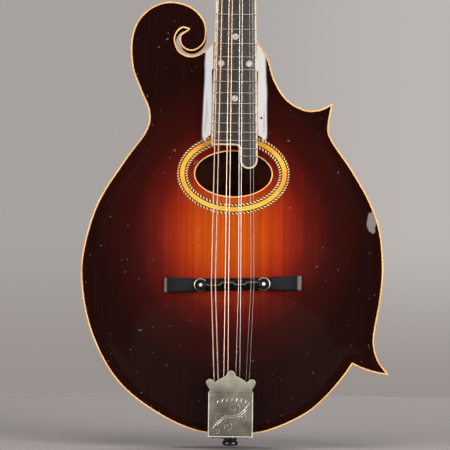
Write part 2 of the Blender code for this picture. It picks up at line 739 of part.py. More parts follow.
def make_tuner(number, x, z, head_frame):
    side = math.copysign(1, x)
    shaft = turned([(0, SHAFT_X[0]), (SHAFT_RADIUS, SHAFT_X[0]), (SHAFT_RADIUS, WORM_X[0]),
                    (WORM_RADIUS, WORM_X[0]), (WORM_RADIUS, WORM_X[1]), (SHAFT_RADIUS, WORM_X[1]),
                    (SHAFT_RADIUS, SHAFT_X[1]), (3.2, BUTTON_X[0]), *BUTTON_SHAPE,
                    (4.0, BUTTON_X[1]), (0, BUTTON_X[1])], 12, "X")
    wide = [v for v in shaft.verts if abs(v.co.x) > BUTTON_X[0] + 1]
    bmesh.ops.scale(shaft, vec=(1, BUTTON_FLAT, 1), verts=wide)
    if side < 0:
        bmesh.ops.scale(shaft, vec=(-1, 1, 1), verts=shaft.verts)
    shaft = add_mesh("tuner_shaft_%d" % number, shaft, "black_button", parent=head_frame)
    shaft.location = (0, sum(GEAR_Y) / 2 * MM, (z + WORM_OFFSET) * MM)
    post = turned([(0, POST_TIP_Y), (2.2, POST_TIP_Y), (POST_RADIUS, POST_TIP_Y + 1.0),
                   (POST_RADIUS, GEAR_Y[0]), (GEAR_RADIUS, GEAR_Y[0]), (GEAR_RADIUS, GEAR_Y[1]),
                   (0, GEAR_Y[1])], 14, "Y")
    post = add_mesh("string_post_%d" % number, post, "nickel_plate", parent=head_frame)
    post.location = (x * MM, 0, z * MM)


# ---------------------------------------------------------------- bridge
def slanted(x, v):
    """The bridge leans a little: its treble end is nearer the nut."""
    return v + math.tan(BRIDGE_SLANT) * x + SADDLE_Z


def make_bridge():
    rings = []
    for x in (BASE_ENDS[0], *BASE_STATIONS, BASE_ENDS[1]):
        far = abs(x)
        wide, lift, top = WAIST_HALF, GAP + WAIST_LIFT, BASE_TOP_Y
        if far > FOOT_START:
            wide, lift = FOOT_HALF, GAP
            stay = (1 - min((far - FOOT_START) / FOOT_SLOPE, 1)) ** 1.6
            top = stay * BASE_TOP_Y + (1 - stay) * (top_y(x, 0) - FOOT_TIP)
        ring = []
        for v in (-wide, wide):
            ring.append((x, top_y(x, v) - lift, slanted(x, v)))
        for v in (wide - 0.5, -wide + 0.5):
            ring.append((x, top, slanted(x, v)))
        rings.append(ring)
    base = add_mesh("bridge_base", loft(rings), "ebony")
    for side, name in ((-1, "bass"), (1, "treble")):
        stud = rod(STUD_RADIUS, BOSS_Y[1] - 0.3, BASE_TOP_Y + 2.5, 12, "Y")
        stud = moved(stud, (side * STUD_X, 0, slanted(side * STUD_X, 0)))
        boolean(base, tool("stud_" + name, stud), "UNION")


def make_saddle():
    crown = saddle_point(0).y + STRING_RADII[0] + GAP
    rings = []
    for x, half, rise in SADDLE_SECTIONS:
        low = BOSS_Y[0]
        high = low + (crown - low) * rise
        rings.append([(x, low, slanted(x, -half)), (x, low, slanted(x, half)),
                      (x, high, slanted(x, SADDLE_CREST)), (x, high, slanted(x, -SADDLE_CREST))])
    saddle = add_mesh("bridge_saddle", loft(rings), "ebony")
    for side, name in ((-1, "bass"), (1, "treble")):
        place = (side * STUD_X, 0, slanted(side * STUD_X, 0))
        boss = moved(rod(BOSS_RADIUS, BOSS_Y[1], BOSS_Y[0] - 0.01, 18, "Y"), place)
        boolean(saddle, tool("boss_" + name, boss), "UNION")
    for side, name in ((-1, "bass"), (1, "treble")):
        place = (side * STUD_X, 0, slanted(side * STUD_X, 0))
        bore = moved(rod(STUD_RADIUS + 0.4, -55, -40, 12, "Y"), place)
        boolean(saddle, tool("stud_bore_" + name, bore), "DIFFERENCE")
        wheel = rod(WHEEL_RADIUS, WHEEL_Y[1], WHEEL_Y[0], 20, "Y")
        wheel = add_mesh("thumbwheel_" + name, wheel, "nickel_plate")
        wheel.location = Vector(place) * MM
        boolean(wheel, bpy.data.objects["stud_bore_" + name], "DIFFERENCE")


# ---------------------------------------------------------------- tailpiece
def cover_outline():
    right = [Vector((COVER_HALF, COVER_FOOT)), Vector((COVER_HALF, COVER_LENGTH)),
             Vector((17.2, COVER_LENGTH + 1.9))]
    ear = arc(*EAR, -35, 150, 8)
    dome = smooth_run([(12.6, 47.8), (10.2, 50.1), (6.4, 52.1), (3.6, 53.8)], 2)
    crest = arc(*CREST, 12, 90, 4)
    side = right + ear + dome + crest
    return side + [Vector((-p.x, p.y)) for p in side[-2::-1]]


def make_tailpiece(tail_frame):
    face = prism(cover_outline(), -COVER_RISE, -COVER_RISE + SHEET)
    cover = add_mesh("tailpiece_cover", face, "nickel_plate", parent=tail_frame)
    for side, name in ((-1, "bass"), (1, "treble")):
        x0, x1 = sorted((side * (COVER_HALF - SHEET), side * COVER_HALF))
        end = COVER_LENGTH - 1.5
        fold = -COVER_RISE + 0.3
        wall = [(x0, -0.6, COVER_FOOT), (x0, 1.6, end), (x0, fold, end), (x0, fold, COVER_FOOT)]
        wall = loft([wall, [(x1, y, z) for _, y, z in wall]])
        boolean(cover, tool("cover_wall_" + name, wall, tail_frame), "UNION")

    lean = math.tan(math.radians(TAIL_LEAN))
    back = TAIL_CORNER_Y + TAIL_SET
    low = TAIL_CORNER_V + SADDLE_Z + 0.5
    over = lean * TAIL_REACH
    profile = [(back - 1.0, low - 1.0), (back - 1.0 - over, low + TAIL_REACH),
               (back - over, low + TAIL_REACH), (back, low), (RIM_LEG_END, low),
               (RIM_LEG_END, low - 1.0)]
    sheet = loft([[(x, y, z) for y, z in profile] for x in (-BASE_HALF, BASE_HALF)])
    base = add_mesh("tailpiece_base", sheet, "nickel_plate")
    boolean(base, bpy.data.objects["pin_bore"], "DIFFERENCE")
    for k, x in enumerate(STRING_X_HOOK):
        at = HOOK_AT[k % 2]
        foot = tail_matrix().inverted() @ Vector((0, back - 0.5 - lean * at, low + at))
        hook = box((x - 0.7, -STRING_TAIL_RISE - 1.0, foot.z - 0.8), (x + 0.7, foot.y, foot.z + 0.8))
        boolean(base, tool("hook_%d" % (k + 1), hook, tail_frame), "UNION")

    add_mesh("end_pin", turned(PIN_PROFILE, 24), "ebony")


# ---------------------------------------------------------------- strings
def string_route(k):
    """Hook, saddle, nut and post, in the world."""
    radius = STRING_RADII[k]
    hook = tail_matrix() @ Vector((STRING_X_HOOK[k], -STRING_TAIL_RISE,
                                   HOOK_AT[k % 2] + 1.2 + radius))
    saddle = saddle_point(STRING_X_SADDLE[k])
    saddle.z += math.tan(BRIDGE_SLANT) * STRING_X_SADDLE[k]
    nut = neck_matrix() @ Vector((STRING_X_NUT[k], -BOARD_THICK - STRING_RISE_NUT,
                                  board_top_z() + NUT_THICK / 2))
    bass = k < 4
    row = (0, 1, 2, 3, 3, 2, 1, 0)[k]
    side = -1 if bass else 1
    reach = POST_X - POST_RADIUS - GAP - radius
    post = head_matrix() @ Vector((side * reach, POST_STRING_Y, POST_Z[row]))
    return [hook, saddle, nut, post]


def make_string(k):
    name = "string_%d" % (k + 1)
    curve = bpy.data.curves.new(name, "CURVE")
    curve.dimensions = "3D"
    line = curve.splines.new("POLY")
    route = string_route(k)
    line.points.add(len(route) - 1)
    for point, place in zip(line.points, route):
        point.co = (*(place * MM), 1.0)
    curve.bevel_depth = STRING_RADII[k] * MM
    curve.bevel_resolution = 2
    curve.use_fill_caps = True
    slot = "bronze_wire" if k < 4 else "steel_wire"
    curve.materials.append(material(slot, *MATERIALS[slot]))
    wire = bpy.data.objects.new(name, curve)
    bpy.context.scene.collection.objects.link(wire)


def main():
    for old in list(bpy.data.objects):
        bpy.data.objects.remove(old)
    outline = body_outline()
    make_plates(outline)
    make_trim(outline)
    pin_bore = make_ribs(outline)
    make_blocks(outline, pin_bore)
    make_linings(outline)
    make_brace()
    neck_frame = add_empty("neck_frame", neck_matrix())
    head_frame = add_empty("head_frame", head_matrix())
    tail_frame = add_empty("tail_frame", tail_matrix())
    make_fingerboard(neck_frame)
    make_riser()
    make_neck(neck_frame, head_frame)
    make_headstock(neck_frame, head_frame)
    make_tuner_plate("tuner_plate_bass", -1, head_frame)
    make_tuner_plate("tuner_plate_treble", 1, head_frame)
    for k, (x, z) in enumerate(post_places()):
        make_tuner(k + 1, x, z, head_frame)
    make_bridge()
    make_saddle()
    make_tailpiece(tail_frame)
    for k in range(8):
        make_string(k)


main()
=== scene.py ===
import math

import bpy
import numpy as np
from mathutils import Matrix, Vector


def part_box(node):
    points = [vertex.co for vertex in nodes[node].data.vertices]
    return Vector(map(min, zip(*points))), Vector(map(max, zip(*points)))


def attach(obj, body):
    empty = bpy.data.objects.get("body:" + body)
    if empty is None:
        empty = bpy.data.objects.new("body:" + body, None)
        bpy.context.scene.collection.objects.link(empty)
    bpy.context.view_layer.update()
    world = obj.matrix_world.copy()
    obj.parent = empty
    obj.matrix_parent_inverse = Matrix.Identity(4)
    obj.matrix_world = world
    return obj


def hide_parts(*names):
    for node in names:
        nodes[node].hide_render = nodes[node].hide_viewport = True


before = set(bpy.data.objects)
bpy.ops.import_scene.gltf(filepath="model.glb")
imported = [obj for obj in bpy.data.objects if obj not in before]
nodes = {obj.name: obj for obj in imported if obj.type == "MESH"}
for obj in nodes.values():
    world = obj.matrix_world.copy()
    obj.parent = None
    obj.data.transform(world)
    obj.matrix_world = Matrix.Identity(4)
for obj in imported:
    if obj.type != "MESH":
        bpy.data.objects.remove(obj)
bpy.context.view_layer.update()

mm = 0.001
sides = ((-1, "bass"), (1, "treble"))
upright = Matrix.Identity(4)
plated = "nickel_plate"
print("frame loaded:", len(nodes), "nodes")


# ways to work on a mesh
def deselect():
    if bpy.context.mode != "OBJECT":
        bpy.ops.object.mode_set(mode="OBJECT")
    bpy.ops.object.select_all(action="DESELECT")


def pick(piece):
    deselect()
    piece.select_set(True)
    bpy.context.view_layer.objects.active = piece


def edit(piece):
    pick(piece)
    bpy.ops.object.mode_set(mode="EDIT")
    bpy.ops.mesh.select_mode(type="VERT")
    bpy.ops.mesh.select_all(action="SELECT")


def applied(piece, kind, **settings):
    # adds one modifier and applies it
    pick(piece)
    change = piece.modifiers.new(kind, kind)
    for key, value in settings.items():
        setattr(change, key, value)
    bpy.ops.object.modifier_apply(modifier=change.name)


def rounded(piece, width, segments=2, angle=30):
    applied(piece, "BEVEL", width=width, segments=segments, limit_method="ANGLE",
            angle_limit=math.radians(angle), use_clamp_overlap=True)


def smooth(piece, angle=35):
    pick(piece)
    bpy.ops.object.shade_smooth_by_angle(angle=math.radians(angle))


def cut(piece, cutter, operation="DIFFERENCE"):
    applied(piece, "BOOLEAN", operation=operation, object=cutter, solver="EXACT")
    bpy.data.objects.remove(cutter)


def join(name, pieces):
    pick(pieces[0])
    for other in pieces[1:]:
        other.select_set(True)
    bpy.ops.object.join()
    pieces[0].name = name
    return pieces[0]


def sheet(name, columns, rows, place):
    # each vertex of a fresh grid goes where the rule says
    deselect()
    bpy.ops.mesh.primitive_grid_add(x_subdivisions=columns, y_subdivisions=rows, size=1)
    piece = bpy.context.object
    piece.name = name
    piece.data.name = name
    for vertex in piece.data.vertices:
        vertex.co = place(vertex.co.x + 0.5, vertex.co.y + 0.5)
    return piece


def facedOut():
    # the edited mesh gets all its faces turned outwards
    bpy.ops.mesh.select_all(action="SELECT")
    bpy.ops.mesh.normals_make_consistent(inside=False)
    deselect()


def tube(name, along, around, place, ringed=False):
    # a grid rolled up: u runs along it and w goes round; a ringed one has no ends to close
    piece = sheet(name, along, around, place)
    edit(piece)
    bpy.ops.mesh.remove_doubles(threshold=1e-6)
    if not ringed:
        bpy.ops.mesh.fill_holes(sides=0)
    facedOut()
    return piece


def slab(name, loop, y0, y1):
    # a flat outline in x and z given thickness in y
    deselect()
    bpy.ops.mesh.primitive_circle_add(vertices=len(loop), radius=1, fill_type="NGON")
    piece = bpy.context.object
    piece.name = name
    for vertex, point in zip(piece.data.vertices, loop):
        vertex.co = (point[0], y0, point[1])
    edit(piece)
    bpy.ops.mesh.extrude_region_move(TRANSFORM_OT_translate={"value": (0, y1 - y0, 0)})
    facedOut()
    return piece


def polar(radius, angle, height, flat=1.0):
    return Vector((radius * math.cos(angle), radius * flat * math.sin(angle), height))


def turnedProfile(name, profile, steps, matrix, ringed=False):
    # a lathe shape from (radius, height) stations, its axis along local z
    count = len(profile) - 1

    def place(u, w):
        radius, height = profile[min(int(round(u * count)), count)]
        return matrix @ polar(radius, w * math.tau, height)

    return tube(name, count, steps, place, ringed)


def spindle(within, place, turn=0.0, about="X"):
    # a frame in millimetres whose z axis carries a turned piece
    return (within @ Matrix.Translation(place) @ Matrix.Rotation(turn, 4, about)
            @ Matrix.Scale(mm, 4))


def squared(angle, cornerAcross, cornerUp):
    # a rounded box section: from -1 to 1 across and from 0 to 1 up
    c, s = math.cos(angle), math.sin(angle)
    return (math.copysign(abs(c) ** cornerAcross, c),
            math.copysign(abs(s) ** cornerUp, s) * 0.5 + 0.5)


def refined(node, width=0.0, segments=2, flat=1.0):
    # a copy of a CAD node with its triangles merged, its edges rounded and its sides smooth
    source = nodes[node]
    piece = source.copy()
    piece.data = source.data.copy()
    piece.name = node.replace("_", "-") + "-fine"
    for user in list(piece.users_collection):
        user.objects.unlink(piece)
    bpy.context.scene.collection.objects.link(piece)
    piece.parent = None
    piece.matrix_world = upright
    for key in list(piece.keys()):
        del piece[key]
    edit(piece)
    bpy.ops.mesh.remove_doubles(threshold=2e-6)
    bpy.ops.mesh.dissolve_limited(angle_limit=math.radians(flat))
    deselect()
    if width:
        rounded(piece, width, segments)
    smooth(piece)
    return piece


def done(piece, body, slot, material, *replaced, soft=0):
    # soft is the angle up to which edges are shaded smooth
    if soft:
        smooth(piece, soft)
    piece.data.materials.clear()
    piece.data.materials.append(material)
    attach(piece, body)
    if replaced:
        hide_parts(*replaced)
    return piece


def dress(node, slot, material, width=0.0, segments=2, body="root"):
    return done(refined(node, width * mm, segments), body, slot, material, node)


# shader maths written as sums
class Signal:
    def __init__(self, paint, socket):
        self.paint = paint
        self.socket = socket

    def maths(self, operation, *others):
        return self.paint.node("Math", {"operation": operation}, self, *others)

    def __add__(self, other):
        return self.maths("ADD", other)

    def __mul__(self, other):
        return self.maths("MULTIPLY", other)

    def __sub__(self, other):
        return self.maths("SUBTRACT", other)

    def __truediv__(self, other):
        return self.maths("DIVIDE", other)

    def __pow__(self, other):
        return self.maths("POWER", other)

    def __rsub__(self, other):
        return self.paint.node("Math", {"operation": "SUBTRACT"}, other, self)

    __radd__ = __add__
    __rmul__ = __mul__

    def clamped(self):
        return self.paint.node("Clamp", {}, self)


class Paint:
    # one material; node() adds any shader node, sets it and links or fills its inputs in order
    def __init__(self, name, **fixed):
        self.material = bpy.data.materials.new(name)
        self.material.use_nodes = True
        self.tree = self.material.node_tree
        self.shader = self.tree.nodes["Principled BSDF"]
        for key, value in fixed.items():
            socket = self.shader.inputs[key.replace("_", " ")]
            socket.default_value = (*value, 1.0) if isinstance(value, tuple) else value

    def node(self, kind, settings, *values, out=0, **named):
        made = self.tree.nodes.new("ShaderNode" + kind)
        for key, value in settings.items():
            if key == "stops":
                ramp = made.color_ramp
                while len(ramp.elements) < len(value):
                    ramp.elements.new(1.0)
                for element, (place, colour) in zip(ramp.elements, value):
                    element.position = place
                    element.color = (*colour, 1.0)
            else:
                setattr(made, key, value)
        slots = [(made.inputs[i], v) for i, v in enumerate(values)]
        slots += [(made.inputs[k.replace("_", " ")], v) for k, v in named.items()]
        for socket, value in slots:
            self.feed(socket, value)
        return Signal(self, made.outputs[out])

    def feed(self, socket, value):
        if isinstance(value, Signal):
            self.tree.links.new(value.socket, socket)
        elif value is not None:
            socket.default_value = value

    def place(self, scale):
        spot = self.node("TexCoord", {}, out=3)
        return self.node("Mapping", {}, Vector=spot, Scale=scale)

    def noise(self, scale, detail=4.0, rough=0.6, stretch=(1, 1, 1)):
        return self.node("TexNoise", {}, Vector=self.place(stretch), Scale=scale,
                         Detail=detail, Roughness=rough)

    def ramp(self, factor, *stops):
        return self.node("ValToRGB", {"stops": stops}, factor)

    def mix(self, factor, first, second):
        made = self.tree.nodes.new("ShaderNodeMix")
        made.data_type = "RGBA"
        self.feed(made.inputs["Factor"], factor)
        for socket, value in ((made.inputs[6], first), (made.inputs[7], second)):
            if isinstance(value, tuple):
                value = (*value, 1.0)
            self.feed(socket, value)
        return Signal(self, made.outputs[2])

    def colour(self, value):
        self.feed(self.shader.inputs["Base Color"], value)

    def roughness(self, base, wave, swing):
        self.feed(self.shader.inputs["Roughness"], base + (wave - 0.5) * swing)

    def bump(self, height, strength, distance=0.0002):
        normal = self.node("Bump", {}, Height=height, Strength=strength, Distance=distance)
        self.feed(self.shader.inputs["Normal"], normal)


def axes(paint, out=3):
    # object x, y and z as three signals, or the two of the UV map with out=2
    spot = paint.node("TexCoord", {}, out=out)
    made = paint.tree.nodes.new("ShaderNodeSeparateXYZ")
    paint.feed(made.inputs[0], spot)
    return [Signal(paint, output) for output in made.outputs]


# the places that everything hangs on
saddleZ = (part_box("bridge_saddle")[0][2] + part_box("bridge_saddle")[1][2]) / 2
body = {"rimHalf": 19.0, "plate": 4.5, "topArch": 13.5, "backArch": 12.0, "archV": 15.0,
        "archHalfX": 118.0, "archDown": 136.0, "archUp": 160.0, "recurve": 0.55}
board = {"pitch": math.radians(4.5), "seatY": -25.0, "jointV": 200.0, "thick": 5.0,
         "centre": 0.4, "halfAt32": 16.5, "taper": 0.020, "scale": 352.4, "ridge": 0.86,
         "ridgeReach": {-1: 8.0, 1: 8.6}, "ridgeLeast": 3.6, "ridgeFoot": (112.0, 124.0),
         "ridgeUnder": 0.6, "ridgeFade": 0.25}
neckPlace = (Matrix.Translation((0, board["seatY"] * mm, board["jointV"] * mm + saddleZ))
             @ Matrix.Rotation(-board["pitch"], 4, "X"))
neckReach = board["jointV"] / math.cos(board["pitch"])
nutZ = board["scale"] - neckReach


def inNeck(x, y, z):
    return neckPlace @ Vector((x * mm, y * mm, z * mm))


def boardHalf(z):
    return board["halfAt32"] - board["taper"] * (z - 32.0)


def boardUnder(v):
    return board["seatY"] - math.tan(board["pitch"]) * (board["jointV"] - v)


def ease(t):
    t = min(max(t, 0.0), 1.0)
    return t * t * (3 - 2 * t)


def arch(x, v, height):
    reach = body["archUp"] if v > body["archV"] else body["archDown"]
    r = math.hypot(x / body["archHalfX"], (v - body["archV"]) / reach)
    return height * math.cos(min(r, 1.0) * math.pi / 2) ** 2


# the cove starts and ends at these angles, each with the angle it fades over
scroll = {"centre": (-40.0, 201.0), "radius": 26.5, "width": 5.0, "depth": 0.9,
          "from": (70, 50), "to": (205, 60)}


def scooped(x, v):
    # the carved cove that follows the scroll
    dx, dv = x - scroll["centre"][0], v - scroll["centre"][1]
    turn = math.degrees(math.atan2(dv, dx)) % 360
    (start, fadeIn), (end, fadeOut) = scroll["from"], scroll["to"]
    mask = ease((turn - start) / fadeIn) * ease((end - turn) / fadeOut)
    off = (math.hypot(dx, dv) - scroll["radius"]) / scroll["width"]
    return scroll["depth"] * mask * math.exp(-off * off)


def topY(x, v):
    # the outer face of the top, with the raised strip beside the fingerboard
    plain = -body["rimHalf"] - body["plate"] - arch(x, v, body["topArch"])
    side = -1 if x < board["centre"] else 1
    beside = abs(x - board["centre"]) - boardHalf(v - board["jointV"])
    foot, head = board["ridgeFoot"]
    gap = max(plain - boardUnder(v), 0.0)
    rise = gap * board["ridge"]
    if beside > -board["ridgeUnder"]:
        rise = max(rise, board["ridgeLeast"])
    share = min(max(1 - beside / board["ridgeReach"][side], 0.0), 1.0)
    share *= ease(share / board["ridgeFade"])
    return plain - rise * share * ease((v - foot) / (head - foot)) + scooped(x, v)


def backY(x, v):
    return body["rimHalf"] + body["plate"] + arch(x, v, body["backArch"])


# the body's edge as (x, v); each run is a smooth curve and the runs meet in corners
bodyRuns = {
    "cutaway": [(18.9, 200.1), (27.3, 186.0), (33.2, 168.2), (43.4, 152.6), (58.2, 144.3),
                (70.8, 144.7), (81.3, 149.9)],
    "trebleSide": [(81.3, 149.9), (78.2, 131.0), (80.8, 119.6), (97.7, 95.1), (112.0, 70.6),
                   (121.2, 46.0), (124.5, 15.0), (122.6, -11.7), (118.4, -36.5), (117.8, -49.3),
                   (121.4, -61.8), (130.2, -73.7)],
    "lowerPoint": [(130.2, -73.7), (118.4, -71.8), (107.4, -68.3), (100.1, -64.9)],
    "lowerTreble": [(100.1, -64.9), (91.0, -78.0), (74.5, -96.5), (57.4, -109.3),
                    (30.0, -121.2), (0.7, -125.7)],
    "bassSide": [(0.7, -125.7), (-30.0, -121.0), (-58.0, -108.7), (-86.5, -88.4),
                 (-105.3, -63.9), (-118.9, -31.1), (-124.6, 5.0), (-121.5, 34.8),
                 (-110.6, 67.9), (-89.9, 101.1), (-72.9, 125.0), (-70.3, 141.0), (-77.4, 158.9),
                 (-84.3, 178.0), (-85.4, 199.5), (-80.2, 216.0), (-68.5, 227.6),
                 (-53.0, 232.1), (-36.0, 227.7), (-25.3, 216.0), (-24.4, 201.0),
                 (-30.8, 193.2), (-38.0, 192.0), (-44.1, 196.0), (-45.3, 204.1),
                 (-38.5, 209.7)],
    "slot": [(-38.5, 209.7), (-43.6, 210.4), (-48.2, 206.0), (-49.2, 199.5), (-45.4, 191.1),
             (-36.0, 187.5), (-26.5, 190.9), (-17.2, 200.2)]}


def smoothRun(points, steps):
    p = [Vector(q) for q in points]
    p = [2 * p[0] - p[1]] + p + [2 * p[-1] - p[-2]]
    curve = []
    for a, b, c, d in zip(p, p[1:], p[2:], p[3:]):
        for k in range(steps):
            t = k / steps
            bend = (2 * a - 5 * b + 4 * c - d) * t * t + (3 * b - a - 3 * c + d) * t ** 3
            curve.append(b + 0.5 * ((c - a) * t + bend))
    return curve + [p[-2]]


outline = []
for run in bodyRuns.values():
    outline += smoothRun(run, 12)[:-1]
outline.append(Vector(bodyRuns["slot"][-1]))
edgeStarts = np.array(outline)
edgeRuns = np.roll(edgeStarts, -1, axis=0) - edgeStarts
edgeSquares = (edgeRuns ** 2).sum(axis=1)


def edgeDistance(x, v):
    off = np.array((x, v)) - edgeStarts
    t = np.clip((off * edgeRuns).sum(axis=1) / edgeSquares, 0, 1)
    return np.linalg.norm(off - edgeRuns * t[:, None], axis=1).min()


def insetLoop(distance):
    # the closed edge moved inwards; points that come too near another stretch are dropped
    moved = []
    for i, point in enumerate(outline):
        before = (point - outline[i - 1]).normalized()
        after = (outline[(i + 1) % len(outline)] - point).normalized()
        n1, n2 = Vector((before.y, -before.x)), Vector((after.y, -after.x))
        turn = before.x * after.y - before.y * after.x
        if turn > 0.3 or n1.dot(n2) < -0.9:
            start = math.atan2(n1.y, n1.x)
            sweep = (math.atan2(n2.y, n2.x) - start) % math.tau
            for k in range(5):
                angle = start + sweep * k / 4
                moved.append(point + Vector((math.cos(angle), math.sin(angle))) * distance)
        else:
            moved.append(point + (n1 + n2) * (distance / max(1 + n1.dot(n2), 0.05)))
    return [p for p in moved if edgeDistance(p.x, p.y) > distance - 0.02]


def inPlan(loop):
    return [(p.x * mm, p.y * mm + saddleZ) for p in loop]


# materials
burst = {"x": -0.002, "z": saddleZ + 0.042, "across": 0.113, "up": 0.131, "down": 0.117,
         "blotch": 0.16, "grain": 2.8, "speck": 0.38, "gloss": 0.13,
         "wearAndHighlight": (0.1145, -0.0240, saddleZ + 0.052), "wornRadius": 0.0045, "wornSquash": 0.45}


def sunburstPaint():
    paint = Paint("sunburstSpruce", Coat_Weight=0.25, Coat_Roughness=0.05, IOR=1.45)
    x, _, z = axes(paint)
    across = (x - burst["x"]) / burst["across"]
    rise = z - burst["z"]
    along = rise.maths("MAXIMUM", 0.0) / burst["up"] - rise.maths("MINIMUM", 0.0) / burst["down"]
    blotch = paint.noise(9.0, 2.0, 0.5)
    far = (across * across + along * along) ** 0.5 + (blotch - 0.5) * burst["blotch"]
    glow = paint.ramp(far, (0.0, (0.45, 0.072, 0.0035)), (0.20, (0.41, 0.054, 0.0035)),
                      (0.38, (0.27, 0.019, 0.0035)), (0.55, (0.092, 0.004, 0.002)),
                      (0.72, (0.026, 0.0018, 0.0012)), (1.0, (0.006, 0.001, 0.0008)))
    grain = paint.noise(1.0, 3.0, 0.65, (900, 1, 5))
    broad = paint.noise(1.0, 2.0, 0.5, (330, 1, 3))
    streak = (grain * 0.5 + broad * 0.5 - 0.5) * burst["grain"]
    stained = paint.mix((0.5 - streak).clamped() * 0.55, glow, (0.012, 0.003, 0.002))
    speck = (paint.noise(330.0, 1.0, 0.4) * 30.0 - 22.8).clamped() * burst["speck"]
    squash = burst["wornSquash"]
    wornX, wornY, wornZ = burst["wearAndHighlight"]
    wearAndHighlight = paint.node("VectorMath", {"operation": "DISTANCE"}, paint.place((1, 1, squash)),
                      (wornX, wornY, wornZ * squash), out=1)
    frayed = wearAndHighlight + (paint.noise(260.0, 3.0) - 0.5) * 0.006
    patch = ((burst["wornRadius"] - frayed) * 900.0).clamped() * 0.7
    paint.colour(paint.mix((speck + patch).clamped(), stained, (0.20, 0.18, 0.17)))
    scuffs = paint.noise(60.0, 6.0, 0.7)
    paint.roughness(burst["gloss"], scuffs, 0.08)
    paint.bump(grain, 0.06, 0.00005)
    return paint.material


def maplePaint():
    paint = Paint("stainedMaple", Coat_Weight=0.4, Coat_Roughness=0.06)
    x, _, z = axes(paint)
    across = x / 0.118
    along = (z - (saddleZ + 0.015)) / 0.150
    far = (across * across + along * along) ** 0.5 + (paint.noise(9.0, 2.0) - 0.5) * 0.2
    glow = paint.ramp(far, (0.0, (0.36, 0.075, 0.012)), (0.4, (0.16, 0.022, 0.008)),
                      (0.8, (0.045, 0.008, 0.005)), (1.0, (0.016, 0.004, 0.003)))
    flame = paint.noise(1.0, 2.0, 0.5, (18, 18, 240))
    grain = paint.noise(1.0, 3.0, 0.6, (500, 500, 12))
    shade = (flame * 0.7 + grain * 0.3 - 0.5) * 1.8
    paint.colour(paint.mix((0.5 - shade).clamped() * 0.6, glow, (0.012, 0.004, 0.003)))
    paint.roughness(0.2, flame, 0.1)
    return paint.material


def rawPaint():
    paint = Paint("rawSpruce")
    grain = paint.noise(1.0, 4.0, 0.6, (700, 300, 9))
    paint.colour(paint.ramp(grain, (0.3, (0.34, 0.20, 0.09)), (0.7, (0.56, 0.38, 0.20))))
    paint.roughness(0.7, grain, 0.2)
    paint.bump(grain, 0.3, 0.0001)
    return paint.material


def mottledPaint(name, coat, spots, stops, rough, swing=0.2, detail=4.0, fade=0.6):
    paint = Paint(name, Coat_Weight=coat[0], Coat_Roughness=coat[1])
    stain = paint.noise(spots, detail, fade)
    paint.colour(paint.ramp(stain, *stops))
    paint.roughness(rough, stain, swing)
    return paint.material


def ropePaint(name, turns, middle):
    # slanting light strands on dark, in step with the ring's own length
    paint = Paint(name, Coat_Weight=0.2, Coat_Roughness=0.1)
    u, w, _ = axes(paint, 2)
    wave = ((u * turns + w * 0.8) * math.tau).maths("SINE")
    edges = (w - middle).maths("ABSOLUTE")
    strand = (wave * 3.0 + 0.1).clamped() * (1 - (edges * 9.0 - 2.2).clamped())
    warm = paint.noise(70.0, 3.0)
    light = paint.ramp(warm, (0.3, (0.46, 0.27, 0.10)), (0.7, (0.68, 0.46, 0.22)))
    paint.colour(paint.mix(strand, (0.040, 0.013, 0.006), light))
    paint.roughness(0.26, warm, 0.1)
    return paint.material


def ebonyPaint(name, tint, rough, streaks=(0.045, 0.034, 0.028), sheen=0.5, highlightFrom=1.0):
    # highlightFrom is how far from the middle the ends are painted pale, as a painted highlight
    # on the bridge's end bevels
    paint = Paint(name, Coat_Roughness=0.25)
    grain = paint.noise(1.0, 5.0, 0.7, (420, 420, 16))
    pores = paint.noise(1.0, 4.0, 0.7, (1600, 1600, 60))
    wood = paint.mix((grain * 1.6 - 0.45).clamped(), tint, streaks)
    # pale ends streaked by the grain: a painted highlight where the end bevels catch the light
    wearAndHighlight = ((axes(paint)[0].maths("ABSOLUTE") - highlightFrom) * 700.0).clamped() * (grain + 0.1)
    paint.colour(paint.mix(wearAndHighlight.clamped(), wood, (0.17, 0.155, 0.14)))
    paint.roughness(rough, pores, 0.25)
    paint.bump(pores, 0.25, 0.00006)
    paint.shader.inputs["Specular IOR Level"].default_value = sheen
    paint.shader.inputs["Coat Weight"].default_value = sheen * 0.2
    return paint.material


def nickelPaint(name, base, wearAndHighlight, rough):
    paint = Paint(name, Metallic=1.0)
    tarnish = paint.noise(70.0, 6.0, 0.65)
    fine = paint.noise(1.0, 4.0, 0.7, (900, 900, 260))
    paint.colour(paint.mix((tarnish * 2.4 - 0.75).clamped(), wearAndHighlight, base))
    paint.roughness(rough + (tarnish - 0.5) * 0.3, fine, 0.12)
    paint.bump(fine, 0.12, 0.00004)
    return paint.material


def wirePaint(name, colour, turns):
    paint = Paint(name, Metallic=1.0)
    _, _, z = axes(paint)
    lay = (z * (turns * math.tau)).maths("SINE")
    dull = paint.noise(120.0, 3.0)
    wearAndHighlight = tuple(c * 0.62 for c in colour)
    paint.colour(paint.mix((dull * 1.6 - 0.3).clamped(), wearAndHighlight, colour))
    paint.roughness(0.42, dull, 0.2)
    if turns > 1:
        paint.bump(lay, 0.3, 0.00004)
    return paint.material


def plainPaint(name, colour, rough, spots=90.0):
    paint = Paint(name, Coat_Weight=0.2, Coat_Roughness=0.1)
    mottle = paint.noise(spots, 4.0, 0.6)
    low = tuple(c * 0.7 for c in colour)
    paint.colour(paint.mix(mottle, low, colour))
    paint.roughness(rough, mottle, 0.2)
    return paint.material


